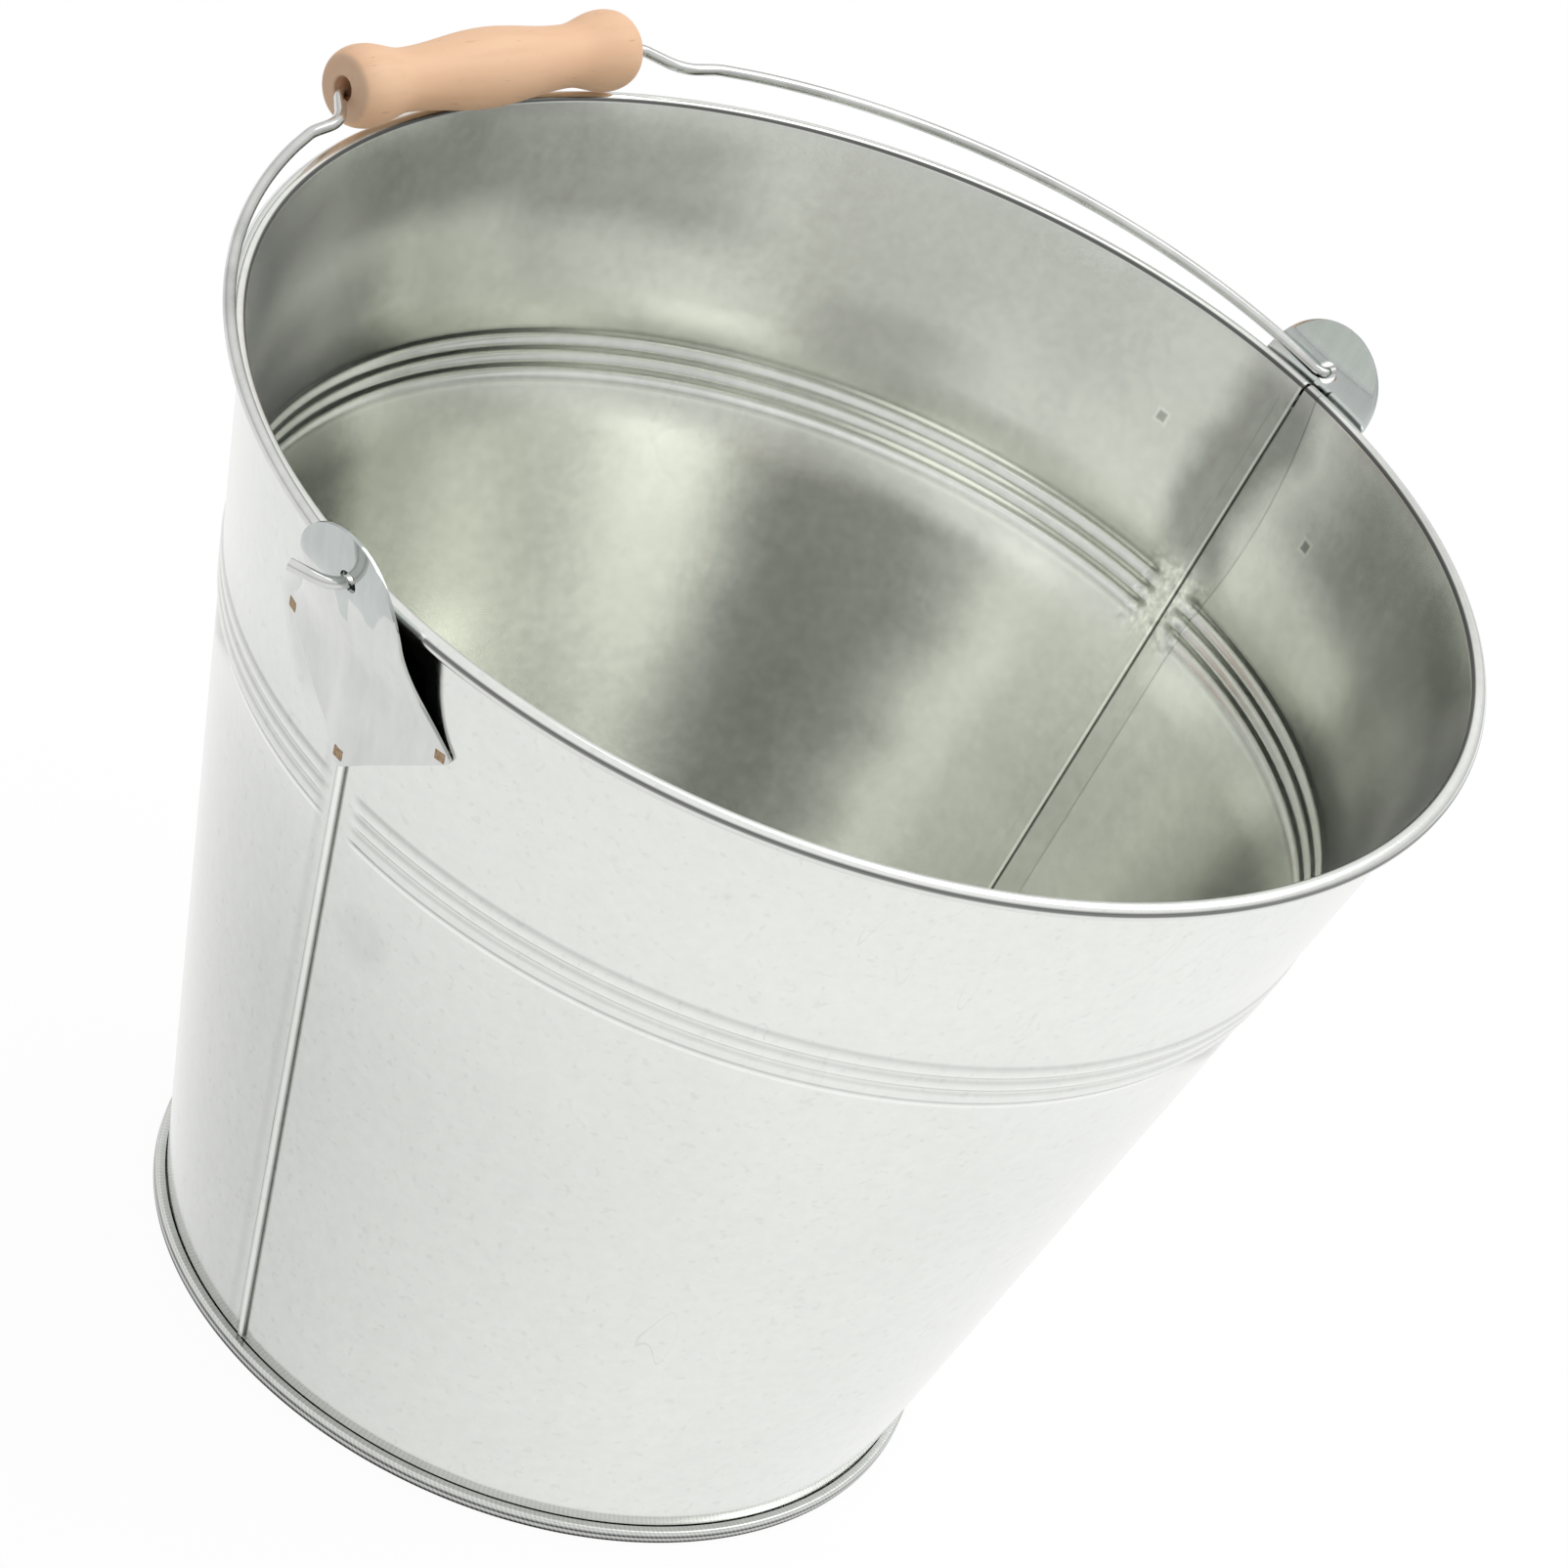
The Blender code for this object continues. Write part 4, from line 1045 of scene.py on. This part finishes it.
bright_zinc = bright_finish()
weld_brown = scale_finish()
ear_left = plate
ear_right = copy_piece(ear_left, "ear_plate_right", HALF_TURN)
finish_piece(ear_left, "bucket", "bright_ear", bright_zinc, "ear_left")
finish_piece(ear_right, "bucket", "bright_ear", bright_zinc, "ear_right")

# %% [markdown]
# A spot weld is a small square that the electrode pressed into the ear: a low raised border round a
# sunken middle. One is modelled and six are placed.

# %% Spot welds
WELD_SIZE = 3.0 * MM
WELD_SUNK = 0.075 * MM


def spot_weld():
    bpy.ops.mesh.primitive_cube_add(size=WELD_SIZE)
    weld = bpy.context.object
    open_mesh(weld)
    pick_all()
    bpy.ops.transform.resize(value=(1, 1, 0.45), center_override=(0, 0, 0))
    bpy.ops.mesh.bevel(offset=0.25 * MM, segments=3)
    pick(lambda place: place.z > 0.67 * MM, faces=True)
    bpy.ops.mesh.inset(thickness=0.35 * MM)
    bpy.ops.mesh.inset(thickness=0.25 * MM, depth=-0.07 * MM)
    close_mesh()
    return weld


def weld_places():
    """(name, width, height) of each weld on an ear."""
    corner = EAR_CORNER_WIDTH - 3.3 * MM
    places = [("point", 0.0, EAR_POINT_HEIGHT + 3.4 * MM)]
    return places + [("side_a", corner, EAR_CORNER_HEIGHT), ("side_b", -corner, EAR_CORNER_HEIGHT)]


pattern = spot_weld()
for hand, turn in (("left", Matrix.Identity(4)), ("right", HALF_TURN)):
    for name, width, height in weld_places():
        sunk = Matrix.Translation((0, 0, -WELD_SUNK))
        place = turn @ ear_frame(width, height) @ sunk
        weld = copy_piece(pattern, f"spot_weld_{hand}_{name}", place)
        finish_piece(weld, "bucket", "weld_scale", weld_brown, f"weld_{hand}_{name}")
bpy.data.objects.remove(pattern)

# %% [markdown]
# The bail is one wire bent in a plane that rises a little from the hinge: a straight middle for the
# grip, a dip on each side of it, a long sweep, an eye through each ear and a tail that keeps it
# from springing out. Its route is drawn as a line and made a curve to give it the wire's thickness.

# %% Bail route
BAIL_SIDE = 157.3 * MM
BAIL_DEPTH = 154.0 * MM
BAIL_TILT = math.radians(3.058)
HINGE_LEVEL = HINGE_HEIGHT + FOOT_LEVEL
WIRE = 3.0 * MM
HAND_STRAIGHT = (48.7 * MM, 151.6 * MM)
HAND_DIP = (55.5 * MM, 141.7 * MM)
SWEEP_WIDTH = 66.2 * MM
SWEEP_END = 2.5 * MM
TAIL_OUT = 5.4 * MM
TAIL_LENGTH = 10.1 * MM
TAIL_ANGLE = math.radians(57)


def rounded(path, radii):
    """Open plane path with each inner corner rounded to a radius."""
    made = [path[0]]
    for before, corner, after, radius in zip(path, path[1:], path[2:], radii):
        before, corner, after = Vector(before), Vector(corner), Vector(after)
        into = (corner - before).normalized()
        out = (after - corner).normalized()
        turn = math.atan2(into.x * out.y - into.y * out.x, into.dot(out))
        start = corner - into * radius * math.tan(abs(turn) / 2)
        centre = start + Vector((-into.y, into.x)) * math.copysign(radius, turn)
        first = math.degrees(math.atan2(start.y - centre.y, start.x - centre.x))
        steps = max(2, math.ceil(abs(turn) / 0.12))
        made += arc(centre, radius, first, first + math.degrees(turn), steps)
    return made + [tuple(path[-1])]


def bail_route():
    """Places along half the bail, from the middle of the grip to the free end."""
    first = math.asin(SWEEP_WIDTH / BAIL_SIDE)
    last = math.acos(SWEEP_END / BAIL_DEPTH)
    sweep = []
    for step in range(61):
        angle = first + (last - first) * step / 60
        sweep.append((BAIL_SIDE * math.sin(angle), BAIL_DEPTH * math.cos(angle)))
    hand = [(0, HAND_STRAIGHT[1]), HAND_STRAIGHT, HAND_DIP, sweep[0], sweep[3]]
    tail = HINGE_RADIUS + TAIL_OUT
    end = (tail + TAIL_LENGTH * math.cos(TAIL_ANGLE), TAIL_LENGTH * math.sin(TAIL_ANGLE))
    eye = [sweep[-1], (BAIL_SIDE, 0.0), (tail, 0.0), end]
    route = rounded(hand, (5 * MM, 11 * MM, 15 * MM)) + sweep[4:-1]
    route += rounded(eye, (2.5 * MM, 7 * MM))[1:]
    back, rise = math.cos(BAIL_TILT), math.sin(BAIL_TILT)
    return [(x, y * back, HINGE_LEVEL + y * rise) for x, y in route]


def bent_wire(name, route, radius):
    """A line drawn through the route and thickened to a round wire with closed ends."""
    piece = start_line(name, route)
    close_mesh()
    bpy.ops.object.convert(target="CURVE")
    piece = bpy.context.object
    piece.data.bevel_depth = radius
    piece.data.bevel_resolution = 6
    piece.data.use_fill_caps = True
    bpy.ops.object.convert(target="MESH")
    piece = bpy.context.object
    open_mesh(piece)
    merge_close_points()
    face_outward()
    close_mesh()
    return piece


half = bail_route()
route = [(-x, y, z) for x, y, z in reversed(half[1:])] + half
bail = bent_wire("bail", route, WIRE / 2)
soften_edges(bail, 0.25 * MM, 60)


def wire_finish():
    material, places = new_finish("bail_drawn_wire")
    cloud = noise(places, 120.0, 3.0, 0.6)
    fine = noise(places, 900.0, 2.0, 0.6)
    stained = noise(places, 34.0).step_up(0.48, 0.66)
    level = 0.66 + (cloud - 0.5) * 0.2 + (fine - 0.5) * 0.05 - stained * 0.12
    colour = tinted(level, (0.99, 1.0, 0.97, 1.0))
    end_finish(places, colour, 0.10 + fine * 0.10, 1.0, fine + cloud, 0.03 * MM, 0.2)
    return material


bail_steel = wire_finish()
finish_piece(bail, "bail", "bail_steel", bail_steel, "bail_wire")

# %% [markdown]
# The grip is turned beech: a swell in the middle, a neck on each side, a bulb at each end and a
# bore for the wire. Its section is a closed line, spun round the grip's own axis.

# %% Grip
GRIP_AXIS = (151.331 * MM, 256.336 * MM)
GRIP_MIDDLE = -2.816 * MM
GRIP_HALF = 45.5 * MM


def swing(start, end, share):
    return start + (end - start) * (1 - math.cos(math.pi * share)) / 2


def grip_side():
    """(along, radius) from the middle to the end face."""
    neck, bulb = 0.571 * GRIP_HALF, 0.857 * GRIP_HALF
    middle, thin, thick, face = 9.85 * MM, 7.78 * MM, 10.12 * MM, 6.4 * MM
    side = [(neck * step / 14, swing(middle, thin, step / 14)) for step in range(14)]
    far = bulb - neck
    side += [(neck + far * step / 12, swing(thin, thick, step / 12)) for step in range(12)]
    for step in range(11):
        turn = math.radians(9 * step)
        along = bulb + (GRIP_HALF - bulb) * math.sin(turn)
        side.append((along, face + (thick - face) * math.cos(turn)))
    return side


def mirrored(points):
    return [(-along, radius) for along, radius in reversed(points)]


side = grip_side()
bore = [(GRIP_HALF, 3.45 * MM), (GRIP_HALF - 0.35 * MM, 3.1 * MM)]
outline = mirrored(side[1:]) + side + bore + mirrored(bore)
outline.append(outline[0])
back, level = GRIP_AXIS
places = [(GRIP_MIDDLE + along, back, level + radius) for along, radius in outline]
grip = turned("beech_grip", places, 96, centre=(0, back, level), axis=(1, 0, 0))
close_mesh()


def beech_finish():
    """Peach-coloured beech: long fine grain, a few short flecks, browner end grain."""
    material, places = new_finish("beech_turned")
    grain = noise(places, 420.0, 4.0, 0.6, stretch=(0.06, 1, 1))
    rings = noise(places, 80.0, stretch=(0.08, 1, 1), shift=(0, 0.3, 0))
    flecks = noise(places, 1000.0, 1.0, stretch=(0.14, 1, 1)).step_up(0.70, 0.78)
    from_middle = abs(places.parts()[0] - GRIP_MIDDLE)
    end_grain = (from_middle - (GRIP_HALF - 1.6 * MM)).step_up(0.0, 1.3 * MM)
    colour = rings.step_up(0.3, 0.75).blend((0.95, 0.58, 0.36, 1.0), (0.98, 0.65, 0.42, 1.0))
    colour = (grain.step_up(0.45, 0.8) * 0.3).blend(colour, (0.80, 0.49, 0.29, 1.0))
    colour = (flecks * 0.35).blend(colour, (0.48, 0.27, 0.15, 1.0))
    colour = (end_grain * 0.55).blend(colour, (0.52, 0.38, 0.28, 1.0))
    relief = grain * 0.6 - flecks * 0.4
    end_finish(places, colour, 0.5 + grain * 0.12, 0.0, relief, 0.08 * MM, 0.5)
    return material


beech = beech_finish()
finish_piece(grip, "hand_grip", "turned_beech", beech, "grip")

# %% [markdown]
# A product picture is made in a white sweep with a soft lamp above and to the right. Metal shows
# what is round it, so the sweep matters more than the lamp: it is white above and below, and a soft
# grey towards the horizon, which gives the roll and the wires their dark edges and the inside its
# grey. The floor still takes a faint shadow.

# %% Floor
FLOOR_SIZE = 40

bpy.ops.mesh.primitive_plane_add(size=FLOOR_SIZE, location=(0, 0, FOOT_LEVEL))
floor = bpy.context.object
floor.name = "studio_floor"
paper = bpy.data.materials.new("studio_paper")
start = empty_tree(paper)


def white_rays(start):
    """1 for what the camera sees directly, in metal or through glass."""
    seen = start.node("ShaderNodeLightPath", output="Is Camera Ray")
    glossy = start.node("ShaderNodeLightPath", output="Is Glossy Ray")
    through = start.node("ShaderNodeLightPath", output="Is Transmission Ray")
    return (seen + glossy + through).clamp(), glossy


white, glossy = white_rays(start)
plain = start.node("ShaderNodeBsdfDiffuse", {"Color": (0.82, 0.82, 0.82, 1.0)})
glow = start.node("ShaderNodeEmission", {"Color": (1, 1, 1, 1), "Strength": 1.03})
mixed = start.node("ShaderNodeMixShader", {0: white * 0.92, 1: plain, 2: glow})
start.node("ShaderNodeOutputMaterial", {"Surface": mixed})
floor.data.materials.append(paper)
print("floor at", round(floor.location.z / MM, 2), "mm")

# %% World and lamp
world = bpy.data.worlds.new("studio_white")
bpy.context.scene.world = world
start = empty_tree(world)
white, glossy = white_rays(start)
rise = start.node("ShaderNodeTexCoord", output="Generated").parts()[2]
horizon = 1 - rise.step_up(0.0, 0.75)
strength = 0.6 + 0.4 * white - 0.38 * glossy * horizon
sky = start.node("ShaderNodeBackground", {"Color": (1, 1, 1, 1), "Strength": strength})
start.node("ShaderNodeOutputWorld", {"Surface": sky})

bpy.ops.object.light_add(type="AREA", location=(0.7, -0.2, 1.6))
lamp = bpy.context.object
lamp.name = "lamp_above"
lamp.data.size = 1.3
lamp.data.energy = 11
aim = Vector((0, 0, 0.12)) - lamp.location
lamp.rotation_euler = aim.to_track_quat("-Z", "Y").to_euler()
bpy.context.scene.view_settings.view_transform = "Standard"
print("studio ready")
